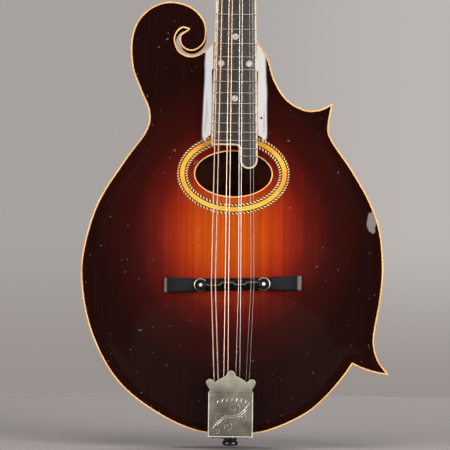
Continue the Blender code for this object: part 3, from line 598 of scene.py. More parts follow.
sunburst = sunburstPaint()
maple = maplePaint()
raw = rawPaint()
cream = mottledPaint("agedCream", (0.3, 0.1), 38.0,
                     ((0.30, (0.53, 0.24, 0.055)), (0.55, (0.65, 0.35, 0.115)),
                      (0.75, (0.72, 0.46, 0.22))), 0.3)
paleCream = mottledPaint("paleCream", (0.2, 0.15), 60.0,
                         ((0.3, (0.36, 0.27, 0.18)), (0.7, (0.52, 0.42, 0.31))), 0.32)
gold = mottledPaint("yellowInlay", (0.3, 0.1), 50.0,
                    ((0.25, (0.41, 0.17, 0.018)), (0.55, (0.60, 0.28, 0.026)),
                     (0.8, (0.68, 0.38, 0.055))), 0.28)
fingerEbony = ebonyPaint("boardEbony", (0.019, 0.016, 0.014), 0.42, (0.040, 0.032, 0.027))
bridgeEbony = ebonyPaint("bridgeEbony", (0.004, 0.004, 0.005), 0.42, (0.010, 0.010, 0.012),
                         0.03, 0.0532)
wheelNickel = nickelPaint("wheelNickel", (0.29, 0.265, 0.225), (0.16, 0.145, 0.12), 0.42)
# pale nickel for painted highlights: the stud tips, the cover's folded edges and the engraving's
# glints
paintedHighlightNickel = nickelPaint("paintedHighlightNickel", (0.96, 0.93, 0.86), (0.80, 0.76, 0.68), 0.5)
blackWood = ebonyPaint("blackWood", (0.010, 0.009, 0.009), 0.22)
nickel = nickelPaint("agedNickel", (0.44, 0.41, 0.335), (0.31, 0.285, 0.225), 0.5)
brightNickel = nickelPaint("brightNickel", (0.72, 0.68, 0.58), (0.45, 0.42, 0.35), 0.24)
fretMetal = nickelPaint("fretMetal", (0.42, 0.38, 0.31), (0.26, 0.235, 0.20), 0.45)
# dark nickel for the engraved strokes, and for the painted shade along the cover's crease
grooveAndCreaseShade = nickelPaint("engravedGrooveAndCreaseShade", (0.15, 0.135, 0.10), (0.10, 0.09, 0.07), 0.5)
bronze = wirePaint("bronzeWound", (0.64, 0.45, 0.34), 3000)
steel = wirePaint("plainSteel", (0.50, 0.44, 0.40), 1)
pearl = mottledPaint("pearl", (0.5, 0.05), 420.0,
                     ((0.35, (0.22, 0.25, 0.24)), (0.5, (0.38, 0.39, 0.37)),
                      (0.65, (0.33, 0.29, 0.28))), 0.22, 0.1, 3.0, 0.5)
bone = plainPaint("boneNut", (0.80, 0.74, 0.62), 0.4)
blackButton = plainPaint("blackCelluloid", (0.016, 0.016, 0.016), 0.2)
print("materials made")


# carved plates
carving = {"topGrid": 1.7 * mm, "backGrid": 3.2 * mm, "margin": 0.003, "cutReach": 0.08,
           "recurveAt": 8.0, "recurveWidth": 4.5, "neckClear": 24.0, "neckFade": 8.0,
           "neckFrom": 100.0}


def carvedPlate(name, surface, height, loop, step):
    # a fine sheet shaped by the carving rule, with a plain arched underside, cut to the outline
    margin, reach = carving["margin"], carving["cutReach"]
    lowX, highX = min(p[0] for p in loop) - margin, max(p[0] for p in loop) + margin
    lowZ, highZ = min(p[1] for p in loop) - margin, max(p[1] for p in loop) + margin
    columns, rows = int((highX - lowX) / step), int((highZ - lowZ) / step)

    def place(u, w):
        x, z = lowX + (highX - lowX) * u, lowZ + (highZ - lowZ) * w
        v = (z - saddleZ) / mm
        off = (edgeDistance(x / mm, v) - carving["recurveAt"]) / carving["recurveWidth"]
        dip = body["recurve"] * math.exp(-off ** 2)
        if v > carving["neckFrom"]:
            beside = abs(x / mm - board["centre"]) - carving["neckClear"]
            dip *= ease(beside / carving["neckFade"])
        y = surface(x / mm, v)
        return Vector((x, (y - math.copysign(dip, y)) * mm, z))

    plate = sheet(name, columns, rows, place)
    edit(plate)
    bpy.ops.mesh.extrude_region_move()
    deselect()
    outward = math.copysign(1, surface(0, 0))
    for vertex in plate.data.vertices:
        if vertex.select:
            hollow = arch(vertex.co.x / mm, (vertex.co.z - saddleZ) / mm, height)
            vertex.co.y = outward * (body["rimHalf"] + hollow) * mm
    edit(plate)
    facedOut()
    cut(plate, slab(name + "Guide", loop, -reach, reach), "INTERSECT")
    print(name, len(plate.data.polygons), "faces")
    return plate


trim = {"outset": 0.02, "width": 1.15, "plateInset": 1.17, "sunk": 0.15, "round": 0.35}
hole = {"x": 0.0, "v": 90.6, "halfX": 32.4, "halfV": 19.5, "binding": 0.95, "proud": 0.12,
        "depth": 4.4, "round": 0.25}
rim = inPlan(insetLoop(trim["plateInset"]))


def ellipseLoop(halfX, halfV, steps=96):
    turns = [math.tau * k / steps for k in range(steps)]
    return [((hole["x"] + halfX * math.cos(a)) * mm,
             (hole["v"] + halfV * math.sin(a)) * mm + saddleZ) for a in turns]


top = carvedPlate("carvedTop", topY, body["topArch"], rim, carving["topGrid"])
opening = ellipseLoop(hole["halfX"], hole["halfV"])
cut(top, slab("holeGuide", opening, -carving["cutReach"], 0.0))
done(top, "root", "sunburst_spruce", sunburst, "top_plate", soft=40)
back = carvedPlate("carvedBack", backY, body["backArch"], rim, carving["backGrid"])
done(back, "root", "stained_maple", maple, "back_plate", soft=40)
print("plates carved")


# rings let into the top round the sound hole
def ellipseBand(name, outer, inner, proud, depth, steps=160):
    section = [(0.0, -depth), (0.0, proud), (1.0, proud), (1.0, -depth), (0.0, -depth)]

    def place(u, w):
        share, rise = section[min(int(round(w * 4)), 4)]
        a = u * math.tau
        halfX = outer[0] + (inner[0] - outer[0]) * share
        halfV = outer[1] + (inner[1] - outer[1]) * share
        x, v = hole["x"] + halfX * math.cos(a), hole["v"] + halfV * math.sin(a)
        return Vector((x * mm, (topY(x, v) - rise) * mm, v * mm + saddleZ))

    band = tube(name, steps, 4, place, ringed=True)
    layer = band.data.uv_layers.active.data
    for corner in layer:
        corner.uv.y = min(max(corner.uv.y * 4 - 1, 0.0), 1.0)
    return band


rosette = {"outer": (46.4, 33.5), "ropeInner": (43.9, 31.0), "goldInner": (40.3, 27.4),
           "inner": (37.2, 24.5), "outerTurns": 92, "innerTurns": 76, "outerMiddle": 0.36,
           "innerMiddle": 0.56, "proud": 0.06, "depth": 0.5}
bands = [("outerRope", rosette["outer"], rosette["ropeInner"],
          ropePaint("outerRope", rosette["outerTurns"], rosette["outerMiddle"])),
         ("goldRing", rosette["ropeInner"], rosette["goldInner"], gold),
         ("innerRope", rosette["goldInner"], rosette["inner"],
          ropePaint("innerRope", rosette["innerTurns"], rosette["innerMiddle"]))]
for name, outer, inner, paint in bands:
    band = ellipseBand(name, outer, inner, rosette["proud"], rosette["depth"])
    done(band, "root", "rosette_inlay", paint, "rosette", soft=35)
ring = ellipseBand("soundHoleRing", (hole["halfX"], hole["halfV"]),
                   (hole["halfX"] - hole["binding"], hole["halfV"] - hole["binding"]),
                   hole["proud"], hole["depth"])
rounded(ring, hole["round"] * mm)
done(ring, "root", "binding_cream", cream, "soundhole_binding", soft=35)
print("rosette let in")


# the bound edge, and the body pieces that keep their CAD shape
def edgeBinding(name, node, level):
    # a strip let into the edge, a hair below the plate's face
    low, high = (corner[1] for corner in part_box(node))
    face = (level - math.copysign(trim["sunk"], level)) * mm
    inner = high if level < 0 else low
    reach = carving["cutReach"]
    strip = slab(name, inPlan(insetLoop(trim["outset"])), inner, face)
    hollow = slab(name + "Hollow", inPlan(insetLoop(trim["width"])), -reach, reach)
    cut(strip, hollow)
    rounded(strip, trim["round"] * mm, 2, 50)
    done(strip, "root", "binding_cream", cream, node, soft=40)


edgeBinding("topEdgeBinding", "top_binding", -body["rimHalf"] - body["plate"])
edgeBinding("backEdgeBinding", "back_binding", body["rimHalf"] + body["plate"])
for node in ("rib_bass", "rib_cutaway", "rib_treble", "rib_lower_point", "rib_lower_treble"):
    dress(node, "stained_maple", maple)
for node in ("neck_block", "tail_block", "upper_point_block", "lower_point_block",
             "lining_top_bass", "lining_top_treble", "lining_back_bass", "lining_back_treble",
             "top_brace"):
    dress(node, "raw_spruce", raw, 0.4, 1)
dress("fingerboard_riser", "stained_maple", maple)
dress("neck", "stained_maple", maple)
dress("fingerboard", "ebony", fingerEbony, 0.25)
dress("fingerboard_binding", "binding_cream", paleCream, 0.2)
dress("nut", "bone", bone, 0.4)
dress("headstock_veneer", "ebony", blackWood, 0.3)
print("body and neck dressed")

# frets and position marks
frets = {"count": 21, "lastFull": 19, "crown": 0.95, "half": 0.6, "tongueX": (5.7, 19.2),
         "singles": (5, 7, 10, 15), "pair": 12, "pairX": 11.4, "dotRadius": 2.6,
         "inset": 0.35, "shares": (0.0, 0.004, 0.012, 0.03, 0.5, 0.97, 0.988, 0.996, 1.0),
         "heights": (0.35, 0.8, 0.96, 1, 1, 1, 0.96, 0.8, 0.35)}


def fretPlace(number):
    return board["scale"] * 2 ** (-number / 12) - neckReach


def makeFret(number):
    z = fretPlace(number)
    low, high = frets["tongueX"]
    if number <= frets["lastFull"]:
        reach = boardHalf(z) - frets["inset"]
        low, high = board["centre"] - reach, board["centre"] + reach

    def place(u, w):
        k = int(round(u * 8))
        share, shrink = frets["shares"][k], frets["heights"][k]
        angle = w * math.tau
        side = frets["half"] * math.cos(angle)
        rise = frets["crown"] * max(math.sin(angle), -0.25) * shrink
        return inNeck(low + (high - low) * share, -board["thick"] - rise, z + side)

    fret = tube("fret-%02d" % number, 8, 16, place)
    done(fret, "root", plated, fretMetal, soft=50)


for number in range(1, frets["count"] + 1):
    makeFret(number)


def makeDot(name, x, number):
    z = (fretPlace(number - 1) + fretPlace(number)) / 2
    profile = [(0.0, 0.35), (frets["dotRadius"], 0.35), (frets["dotRadius"], -0.06),
               (frets["dotRadius"] - 0.25, -0.1), (0.0, -0.12)]
    turn = spindle(neckPlace, (x * mm, -board["thick"] * mm, z * mm), -math.pi / 2)
    dot = turnedProfile(name, profile, 32, turn)
    done(dot, "root", "bone", pearl, soft=35)


for number in frets["singles"]:
    makeDot("dot-%d" % number, board["centre"], number)
for side, label in sides:
    makeDot("dot-12-" + label, board["centre"] + side * frets["pairX"], frets["pair"])
print("frets and dots set")

# bridge
bridge = {"slant": math.tan(math.radians(1.5)), "ends": (-55.6, 56.9), "top": -41.6,
          "waistHalf": 5.2, "footExtra": 0.7, "footFrom": 31.5, "footRun": 21.0,
          "footCurve": 1.9, "footTip": 3.0, "footLift": 0.3, "waistLift": 1.3, "bevel": 2.6,
          "bevelDrop": 1.2}
stud = {"x": 25.7, "radius": 1.5, "foot": 39.5, "bore": 1.85, "boreY": (40, 55)}
wheel = {"y": (43.6, 45.4), "radius": 5.6, "rim": 4.8, "bore": 1.8, "knurls": 36,
         "knurlDepth": 0.28}
saddle = {"half": 26.5, "bossY": (-45.7, -48.0), "boss": 4.6, "crown": -49.75,
          "shoulder": (25.5, 5.5), "footHalf": 3.5, "crestHalf": 1.0}


def bridgeZ(x, v):
    return (v + bridge["slant"] * x) * mm + saddleZ


def basePlace(u, w):
    low, high = bridge["ends"]
    x = low + (high - low) * u
    far = abs(x)
    wide = bridge["waistHalf"] + bridge["footExtra"] * ease((far - 30) / 8)
    down = min(max((far - bridge["footFrom"]) / bridge["footRun"], 0.0), 1.0)
    share = 1 - (1 - down) ** bridge["footCurve"]
    top = bridge["top"] + (topY(x, 0) - bridge["footTip"] - bridge["top"]) * share
    lift = bridge["footLift"] + bridge["waistLift"] * (1 - ease((far - 32) / 3))
    edge = min(u, 1 - u) * (high - low) / bridge["bevel"]
    top += (1 - min(edge, 1.0)) * bridge["bevelDrop"]
    across, rise = squared(w * math.tau, 0.22, 0.3)
    v = wide * across
    floor = topY(x, v) - lift
    return Vector((x * mm, (floor + (top - floor) * rise) * mm, bridgeZ(x, v)))


base = tube("bridgeBase", 90, 40, basePlace)
done(base, "root", "ebony", bridgeEbony, "bridge_base", soft=40)


def crownShift(x):
    # the staggered crown: each pair of strings has its own length
    steps = ((-21.0, 0.0), (-18.5, -1.3), (-10.0, -1.0), (-8.5, 0.9), (0.8, 1.0), (2.0, -0.8),
             (10.5, -0.7), (12.0, 0.8), (20.0, 0.9), (22.0, 0.0))
    for (a, low), (b, high) in zip(steps, steps[1:]):
        if a <= x <= b:
            return low + (high - low) * ease((x - a) / (b - a))
    return 0.0


def saddlePlace(u, w):
    x = saddle["half"] * (2 * u - 1)
    start, run = saddle["shoulder"]
    fullness = ease((start - abs(x)) / run)
    low, bossTop = saddle["bossY"]
    high = bossTop + (saddle["crown"] - bossTop) * fullness
    across, rise = squared(w * math.tau, 0.3, 0.3)
    thinning = (saddle["crestHalf"] - saddle["footHalf"]) * rise ** 1.3 * fullness
    v = (saddle["footHalf"] + thinning) * across + crownShift(x) * rise
    return Vector((x * mm, (low + (high - low) * rise) * mm, bridgeZ(x, v)))


def studAxis(side):
    x = side * stud["x"]
    return spindle(upright, (x * mm, 0, bridgeZ(x, 0)), math.pi / 2)


saddleBar = tube("saddleBar", 120, 36, saddlePlace)
bossLow, bossHigh = (-y for y in saddle["bossY"])
for side, _ in sides:
    profile = [(0, bossLow), (saddle["boss"] - 0.4, bossLow), (saddle["boss"], bossLow + 0.4),
               (saddle["boss"], bossHigh - 0.5), (saddle["boss"] - 0.5, bossHigh), (0, bossHigh)]
    cut(saddleBar, turnedProfile("boss", profile, 36, studAxis(side)), "UNION")
for side, label in sides:
    turn = studAxis(side)
    y0, y1 = stud["boreY"]
    bore = [(0, y0), (stud["bore"], y0), (stud["bore"], y1), (0, y1)]
    cut(saddleBar, turnedProfile("bore", bore, 24, turn))
    tip = bossHigh + 0.3
    profile = [(0, stud["foot"]), (stud["radius"], stud["foot"]), (stud["radius"], tip - 0.4),
               (stud["radius"] - 0.4, tip), (0, tip + 0.1)]
    # the studs are painted in pale nickel, a painted highlight on their tips
    rod = turnedProfile("stud-" + label, profile, 20, turn)
    done(rod, "root", plated, paintedHighlightNickel, "bridge_base", soft=35)
    y0, y1 = wheel["y"]
    stations = ((wheel["bore"], y0), (wheel["rim"], y0), (wheel["radius"], y0 + 0.3),
                (wheel["radius"], y1 - 0.3), (wheel["rim"], y1), (wheel["bore"], y1),
                (wheel["bore"], y0))

    def wheelPlace(u, w):
        k = int(round(u * 6))
        radius, height = stations[k]
        if k in (2, 3):
            radius -= wheel["knurlDepth"] * (int(round(w * wheel["knurls"] * 2)) % 2)
        return turn @ polar(radius, w * math.tau, height)

    knurled = tube("knurledWheel-" + label, 6, wheel["knurls"] * 2, wheelPlace, ringed=True)
    done(knurled, "wheel_" + label, plated, wheelNickel, "thumbwheel_" + label, soft=25)
done(saddleBar, "saddle", "ebony", bridgeEbony, "bridge_saddle", soft=40)
print("bridge made")


def thread(name, points, radius, around=8):
    # a round wire along any path of points in metres
    points = [Vector(p) for p in points]
    count = len(points) - 1
    frames = []
    side = None
    for i, point in enumerate(points):
        ahead = points[min(i + 1, count)] - points[max(i - 1, 0)]
        ahead.normalize()
        side = side or ahead.orthogonal()
        side = (side - ahead * side.dot(ahead)).normalized()
        frames.append((point, side.copy(), ahead.cross(side)))

    def place(u, w):
        point, one, two = frames[min(int(round(u * count)), count)]
        angle = w * math.tau
        return point + (one * math.cos(angle) + two * math.sin(angle)) * radius

    piece = tube(name, count, around, place)
    smooth(piece, 60)
    return piece


# a pale line along the saddle's crown: a painted highlight on its edge
wearAndHighlight = {"half": 20.5, "points": 90, "proud": 0.02, "off": 0.85, "radius": 0.2}
crownEdge = []
for k in range(wearAndHighlight["points"] + 1):
    x = wearAndHighlight["half"] * (2 * k / wearAndHighlight["points"] - 1)
    crownEdge.append(Vector((x * mm, (saddle["crown"] - wearAndHighlight["proud"]) * mm,
                             bridgeZ(x, crownShift(x) + wearAndHighlight["off"]))))
done(thread("crownEdge", crownEdge, wearAndHighlight["radius"] * mm, 6), "saddle", "ebony",
     plainPaint("paintedCrownHighlight", (0.30, 0.20, 0.11), 0.45))

# tailpiece
tail = {"corner": (-25.3, 8.2), "halfWidth": 18.2, "foot": 1.8, "crease": 39.6, "face": -6.6,
        "edge": 0.42, "footEdge": 0.34, "tilt": 0.166117, "stroke": 0.2, "middle": 19.0,
        "widen": 1.3, "heighten": 1.25, "lift": 0.5, "glintShift": (0.38, -0.3)}
tailY, tailZ = tail["corner"]
tailPlace = spindle(upright, (0, tailY * mm, tailZ * mm), math.asin(tail["tilt"]))
dress("tailpiece_cover", plated, nickel, 0.22, body="tailpiece_cover")
dress("tailpiece_base", plated, nickel, 0.2)
# pale wires along the cover's folded sides and its foot: painted highlights on those edges
for side, label in sides:
    x = side * (tail["halfWidth"] - 0.25)
    line = [tailPlace @ Vector((x, tail["face"] + 0.1, tail["foot"] + (tail["crease"] - 2.1) * t))
            for t in (0, 0.02, 0.25, 0.5, 0.75, 0.98, 1)]
    done(thread("coverFold-" + label, line, tail["edge"] * mm), "tailpiece_cover", plated,
         paintedHighlightNickel)
line = [tailPlace @ Vector((tail["halfWidth"] * t, tail["face"] + 0.1, tail["foot"] + 0.3))
        for t in (-0.99, -0.5, 0, 0.5, 0.99)]
done(thread("coverFoot", line, tail["footEdge"] * mm), "tailpiece_cover", plated,
     paintedHighlightNickel)


def engraved(name, points, depth=0.05):
    # a thin line on the cover's face, used for the engraved strokes, their painted highlight and
    # the crease's painted shade
    line = [tailPlace @ Vector((x, tail["face"] - depth, z)) for x, z in points]
    return thread(name, line, tail["stroke"] * mm, 6)


def curl(x, z, start, turns, radius, tightening=0.8):
    # a spiral stroke that tightens towards its end
    line = []
    for k in range(33):
        t = k / 32
        angle = math.radians(start) + turns * math.tau * t
        r = radius * (1 - t) ** tightening + 0.25
        line.append((x + r * math.cos(angle), z + r * math.sin(angle)))
    return line


stem = [(-11.5 + 23 * t, 11 + 17 * t + 2.6 * math.sin(t * math.tau))
        for t in (k / 40 for k in range(41))]
lines = [stem, [(x + 0.5, z - 1.1) for x, z in stem[4:-4]]]
for x, z, start, turns, radius in ((-7.2, 18.2, -60, 1.4, 4.0), (-2.4, 12.2, 130, -1.4, 3.4),
                                   (1.6, 24.8, -70, 1.3, 4.2), (6.4, 18.2, 120, -1.4, 3.4),
                                   (-9.8, 9.2, 40, -1.2, 2.2), (11.0, 29.2, -140, 1.2, 2.4)):
    lines.append(curl(x, z, start, turns, radius))
for k in range(7):
    x, z = -9 + 3.0 * k, 27.5 + 1.0 * k - 0.14 * k * k
    lines.append([(x + 0.9 * t, z + 3.4 * t - 1.2 * t * t) for t in (0, 0.25, 0.5, 0.75, 1)])
middle, lift = tail["middle"], tail["lift"]
lines = [[(x * tail["widen"], (z - middle) * tail["heighten"] + middle + lift)
          for x, z in line] for line in lines]
flourish = join("flourish", [engraved("stroke", line) for line in lines])
done(flourish, "tailpiece_cover", plated, grooveAndCreaseShade)
# pale strokes just beside the engraving: a painted highlight along each cut's edge
glintX, glintZ = tail["glintShift"]
glints = [[(x + glintX, z + glintZ) for x, z in line] for line in lines]
glint = join("flourishGlint", [engraved("stroke", line, 0.0) for line in glints])
done(glint, "tailpiece_cover", plated, paintedHighlightNickel)
# a dark line where the dome begins: painted shade along the cover's bend
crease = [(-17.2 + 34.4 * k / 12, tail["crease"] - 0.2) for k in range(13)]
done(engraved("coverCrease", crease, -0.1), "tailpiece_cover", plated, grooveAndCreaseShade)

pinProfile = [(0, 0), (5.6, 0), (6.2, 0.3), (6.5, 1.0), (6.5, 2.6), (6.1, 3.4), (5.2, 3.9),
              (4.5, 4.2), (4.5, 4.4), (5.4, 4.7), (5.75, 5.2), (5.75, 6.8), (5.3, 7.3),
              (3.2, 7.4), (2.9, 24.5), (0, 24.5)]
pin = turnedProfile("endPin", pinProfile, 48, Matrix.Scale(mm, 4))
done(pin, "root", "ebony", blackWood, "end_pin", soft=50)

# a small pin in the top beside the fingerboard
sidePin = {"x": 22.6, "v": 137.0, "radius": 0.95}
x, v = sidePin["x"], sidePin["v"]
turn = spindle(upright, (x * mm, topY(x, v) * mm, v * mm + saddleZ), math.pi / 2)
small = turnedProfile("sidePin", [(0, -1.5), (0.7, -1.5), (sidePin["radius"], 0.2),
                                  (sidePin["radius"], 0.6), (0.6, 1.0), (0, 1.1)], 20, turn)
done(small, "root", "ebony", blackWood, soft=50)

# strings, each with its twisted end above the hook
twist = {"radii": (0.85, 0.85, 0.62, 0.62, 0.48, 0.48, 0.42, 0.42), "length": 0.009,
         "shares": (0.02, 0.1, 0.5, 0.9, 1)}
for k in range(1, 9):
    node = "string_%d" % k
    wire = refined(node, flat=0.2)
    slot, paint = ("bronze_wire", bronze) if k < 5 else ("steel_wire", steel)
    done(wire, "root", slot, paint, node, soft=80)
    low = min(wire.data.vertices, key=lambda vertex: vertex.co.z).co
    near = [vertex.co for vertex in wire.data.vertices if vertex.co.z < low.z + 0.0015]
    foot = sum(near, Vector()) / len(near)
    far = [vertex.co for vertex in wire.data.vertices if abs(vertex.co.z - saddleZ) < 0.004]
    head = sum(far, Vector()) / len(far)
    ahead = (head - foot).normalized()
    line = [foot + ahead * t * twist["length"] for t in twist["shares"]]
    done(thread("twist-%d" % k, line, twist["radii"][k - 1] * mm), "root", slot, paint)
print("strings strung")

# tuners
tuner = {"postX": 17.0, "rows": (35, 58, 81, 104), "gearY": (15.2, 18.8), "teeth": 14,
         "gear": (4.1, 4.9), "offset": 7.65, "worm": (10.8, 23.4), "wormPitch": 1.9,
         "wormRadius": 2.02, "wormDepth": 0.38, "wormRows": 52, "buttonFlat": 0.5,
         "holeY": -10.2, "winding": 3.05, "windingTop": -6.6, "windingRun": 1.9,
         "windingWire": 0.28, "plateTop": 14.3, "screws": (49.0, 72.0, 95.0)}
headPlace = (neckPlace @ Matrix.Translation((0, 0.3 * mm, (nutZ + 4.3) * mm))
             @ Matrix.Rotation(-math.radians(14), 4, "X"))
shaftMetal = nickelPaint("shaftMetal", (0.62, 0.58, 0.48), (0.38, 0.35, 0.28), 0.32)
brassMetal = nickelPaint("wheelBrass", (0.62, 0.44, 0.19), (0.38, 0.26, 0.11), 0.36)


def slotted(head, axis, reach, width, height, depth, lift=0.0):
    # cuts a slot across the head of a screw
    blade = sheet("slot", 1, 1, lambda u, w: axis @ Vector((reach * (2 * u - 1),
                                                            width * (w - 0.5), height)))
    applied(blade, "SOLIDIFY", thickness=depth * mm, offset=0)
    blade.location = axis.to_3x3().col[2] * lift
    cut(head, blade)


def makeShaft(label, side, z):
    axis = spindle(headPlace, (0, 17 * mm, (z + tuner["offset"]) * mm), side * math.pi / 2, "Y")
    low, high = tuner["worm"]
    stations = [(0.0, 8.4), (1.5, 8.4), (1.5, 10.4)]
    rows = tuner["wormRows"]
    stations += [(2.2, low + (high - low) * i / rows) for i in range(rows + 1)]
    stations += [(1.5, 23.8), (1.5, 39.0), (2.6, 39.4), (2.9, 40.4), (2.6, 41.4), (0.0, 41.6)]
    count = len(stations) - 1

    def place(u, w):
        radius, height = stations[min(int(round(u * count)), count)]
        angle = w * math.tau
        if low <= height <= high:
            wave = math.cos(height / tuner["wormPitch"] * math.tau + angle)
            wave = max(-1.0, min(1.0, wave * 1.6))
            radius = tuner["wormRadius"] + tuner["wormDepth"] * wave
        return axis @ polar(radius, angle, height)

    shaft = tube("shaft-" + label, count, 20, place)
    done(shaft, "tuner_" + label, plated, shaftMetal, "tuner_shaft_" + label, soft=40)
    knob = [(0.0, 41.7), (3.0, 41.7), (4.6, 42.4), (6.6, 43.8), (7.9, 46.2), (8.2, 48.8),
            (7.7, 51.6), (6.5, 53.9), (4.6, 55.4), (2.4, 55.9), (0.0, 56.0)]

    def press(u, w):
        radius, height = knob[min(int(round(u * 10)), 10)]
        flat = 1 - tuner["buttonFlat"] * ease((height - 42) / 3)
        return axis @ polar(radius, w * math.tau, height, flat)

    button = tube("button-" + label, 10, 32, press)
    done(button, "tuner_" + label, "black_button", blackButton, "tuner_shaft_" + label, soft=60)


def makePost(label, side, z, slot, paint):
    bodyName, node = "post_" + label, "string_post_" + label
    postX = side * tuner["postX"] * mm
    axis = spindle(headPlace, (postX, 0, z * mm), -math.pi / 2)
    profile = [(0, -13.5), (1.6, -13.5), (2.4, -13.2), (3.0, -12.4), (3.0, -8.4), (2.75, -7.6),
               (2.75, -5.0), (3.0, -4.2), (3.0, 15.2), (0, 15.2)]
    post = turnedProfile("post-" + label, profile, 28, axis)
    hole = spindle(headPlace, (postX, tuner["holeY"] * mm, z * mm))
    cut(post, turnedProfile("bore", [(0, -5), (0.7, -5), (0.7, 5), (0, 5)], 12, hole))
    done(post, bodyName, plated, brightNickel, node, soft=40)
    low, high = tuner["gearY"]
    inner, outer = tuner["gear"]
    stations = ((0.0, low), (0.86, low), (1.0, low + 0.35), (1.0, high - 0.35), (0.86, high),
                (0.0, high))

    def place(u, w):
        angle = w * math.tau
        tooth = math.sin(angle * tuner["teeth"] - side * math.pi / 2)
        radius = (inner + outer) / 2 + (outer - inner) / 2 * max(-1, min(1, tooth * 1.8))
        size, height = stations[int(round(u * 5))]
        return axis @ polar(radius * size, angle, height)

    gear = tube("wheel-" + label, 5, tuner["teeth"] * 8, place)
    screw = turnedProfile("screw", [(0, high - 0.2), (1.9, high - 0.2), (1.9, high + 0.3),
                                    (1.3, high + 0.8), (0, high + 0.95)], 24, axis)
    slotted(screw, axis, 2, 0.4, high + 0.45, 1.5, 0.75)
    done(gear, bodyName, plated, brassMetal, node, soft=30)
    done(screw, bodyName, plated, shaftMetal, soft=30)
    coil = []
    for k in range(73):
        angle = k / 72 * math.tau * 3 + (0 if side < 0 else math.pi)
        height = tuner["windingTop"] + tuner["windingRun"] * k / 72
        coil.append(axis @ polar(tuner["winding"], angle, height))
    done(thread("winding-" + label, coil, tuner["windingWire"] * mm, 6), bodyName, slot, paint)
    ring = [(3.25, -2.0), (4.9, -2.0), (4.9, -2.6), (4.3, -3.0), (3.25, -3.0), (3.25, -2.0)]
    bushing = turnedProfile("bushing-" + label, ring, 32, axis, ringed=True)
    done(bushing, "root", plated, brightNickel, soft=40)


def makeScrew(name, axis, radius):
    head = turnedProfile(name, [(0, 0), (radius, 0), (radius, 0.25), (radius * 0.6, 0.75),
                                (0, 0.9)], 20, axis)
    slotted(head, axis, 2 * radius, 0.5, 0.8, 0.8)
    done(head, "root", plated, shaftMetal, soft=30)


for side, label in sides:
    dress("tuner_plate_" + label, plated, nickel, 0.2)
    for i, z in enumerate(tuner["screws"]):
        place = (side * tuner["postX"] * mm, tuner["plateTop"] * mm, z * mm)
        axis = spindle(headPlace, place, -math.pi / 2)
        makeScrew("plateScrew-%s-%d" % (label, i + 1), axis, 1.9)
for k in range(8):
    side, z = (-1 if k < 4 else 1), tuner["rows"][k % 4]
    label = str(k + 1)
    slot, paint = ("bronze_wire", bronze) if k < 4 else ("steel_wire", steel)
    makeShaft(label, side, z)
    makePost(label, side, z, slot, paint)
print("tuners fitted")


# floor, light and camera
def addLight(name, place, size, power, colour, aim=(0, 0, 0.19)):
    deselect()
    bpy.ops.object.light_add(type="AREA", location=place)
    lamp = bpy.context.object
    lamp.name = name
    lamp.data.shape = "RECTANGLE"
    lamp.data.size, lamp.data.size_y = size
    lamp.data.energy = power
    lamp.data.color = colour
    lamp.rotation_euler = (Vector(aim) - Vector(place)).to_track_quat("-Z", "Y").to_euler()


# each light's place, size, power and colour
lights = {"sideLeft": ((-1.75, -1.8, 0.75), (1.4, 1.9), 50, (1.0, 0.98, 0.96)),
          "sideRight": ((1.75, -1.75, 0.75), (1.4, 1.9), 62, (1.0, 0.98, 0.95)),
          "glintLeft": ((-1.95, -1.45, 0.45), (1.05, 1.2), 38, (1.0, 0.99, 1.0)),
          "glintRight": ((1.95, -1.45, 0.45), (1.05, 1.2), 38, (1.0, 0.98, 0.97)),
          "overhead": ((0.2, -0.9, 2.4), (1.6, 1.2), 34, (1, 1, 1)),
          "rear": ((0.4, 2.2, 1.6), (1.6, 1.2), 60, (1, 1, 1))}
for name, settings in lights.items():
    addLight(name, *settings)

# the floor looks paler to the eye than to the varnish
ground = {"radius": 0.8, "level": -0.0015, "lit": (0.05, 0.045, 0.042),
          "seen": (0.208, 0.187, 0.180)}
deselect()
bpy.ops.mesh.primitive_circle_add(vertices=96, radius=ground["radius"], fill_type="NGON",
                                  location=(0, 0, 0))
floor = bpy.context.object
floor.name = "paleFloor"
for vertex in floor.data.vertices:
    vertex.co.z = ground["level"]
floorPaint = Paint("paleFloor", Roughness=0.9, Specular_IOR_Level=0.1)
byEye = floorPaint.node("LightPath", {})
floorPaint.colour(floorPaint.mix(byEye, ground["lit"], ground["seen"]))
floor.data.materials.append(floorPaint.material)


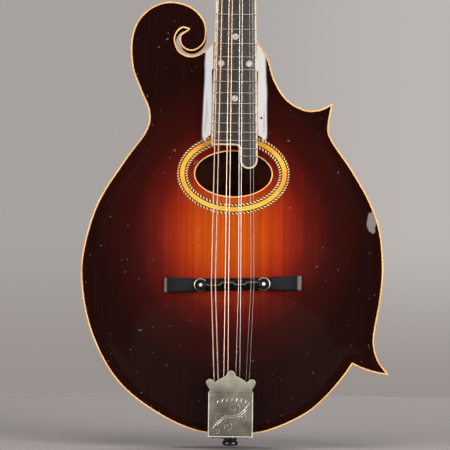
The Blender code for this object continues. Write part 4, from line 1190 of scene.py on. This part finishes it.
def studioWorld(dim, left, right, shade):
    # the eye sees a pale backdrop, while the varnish sees a dim room
    world = bpy.data.worlds.new("studio")
    world.use_nodes = True
    tree = world.node_tree

    def add(kind, **settings):
        made = tree.nodes.new("ShaderNode" + kind)
        for key, value in settings.items():
            setattr(made, key, value)
        return made

    def spread(socket, low, high):
        made = add("MapRange", interpolation_type="SMOOTHSTEP")
        tree.links.new(socket, made.inputs[0])
        made.inputs[1].default_value, made.inputs[2].default_value = low, high
        return made.outputs[0]

    def blend(factor, first, second):
        made = add("Mix", data_type="RGBA")
        tree.links.new(factor, made.inputs["Factor"])
        for socket, value in ((made.inputs[6], first), (made.inputs[7], second)):
            if isinstance(value, tuple):
                socket.default_value = (*value, 1)
            else:
                tree.links.new(value, socket)
        return made.outputs[2]

    aim = add("SeparateXYZ")
    tree.links.new(add("TexCoord").outputs[0], aim.inputs[0])
    wide = blend(spread(aim.outputs[0], -0.03, 0.07), left, right)
    tall = blend(spread(aim.outputs[2], -0.055, 0.0), shade, wide)
    tree.nodes["Background"].inputs[0].default_value = (*dim, 1)
    pale, which = add("Background"), add("MixShader")
    tree.links.new(tall, pale.inputs[0])
    tree.links.new(add("LightPath").outputs["Is Camera Ray"], which.inputs[0])
    tree.links.new(tree.nodes["Background"].outputs[0], which.inputs[1])
    tree.links.new(pale.outputs[0], which.inputs[2])
    tree.links.new(which.outputs[0], tree.nodes["World Output"].inputs[0])
    bpy.context.scene.world = world


studioWorld((0.020, 0.019, 0.019), (0.39, 0.365, 0.35), (0.50, 0.47, 0.445), (0.32, 0.285, 0.27))

view = {"distance": 2.5, "face": 0.024, "lens": 242.7, "sensor": 36, "x": -6.4, "v": 48.5,
        "lean": 0.69}
deselect()
bpy.ops.object.camera_add(location=(view["x"] * mm, -view["distance"] - view["face"],
                                    view["v"] * mm + saddleZ))
camera = bpy.context.object
camera.data.sensor_width = view["sensor"]
camera.data.lens = view["lens"]
camera.data.clip_start = 0.1
camera.rotation_euler = (Matrix.Rotation(math.pi / 2, 3, "X")
                         @ Matrix.Rotation(math.radians(view["lean"]), 3, "Z")).to_euler()
bpy.context.scene.camera = camera
bpy.context.scene.view_settings.view_transform = "Standard"

print("scene ready")
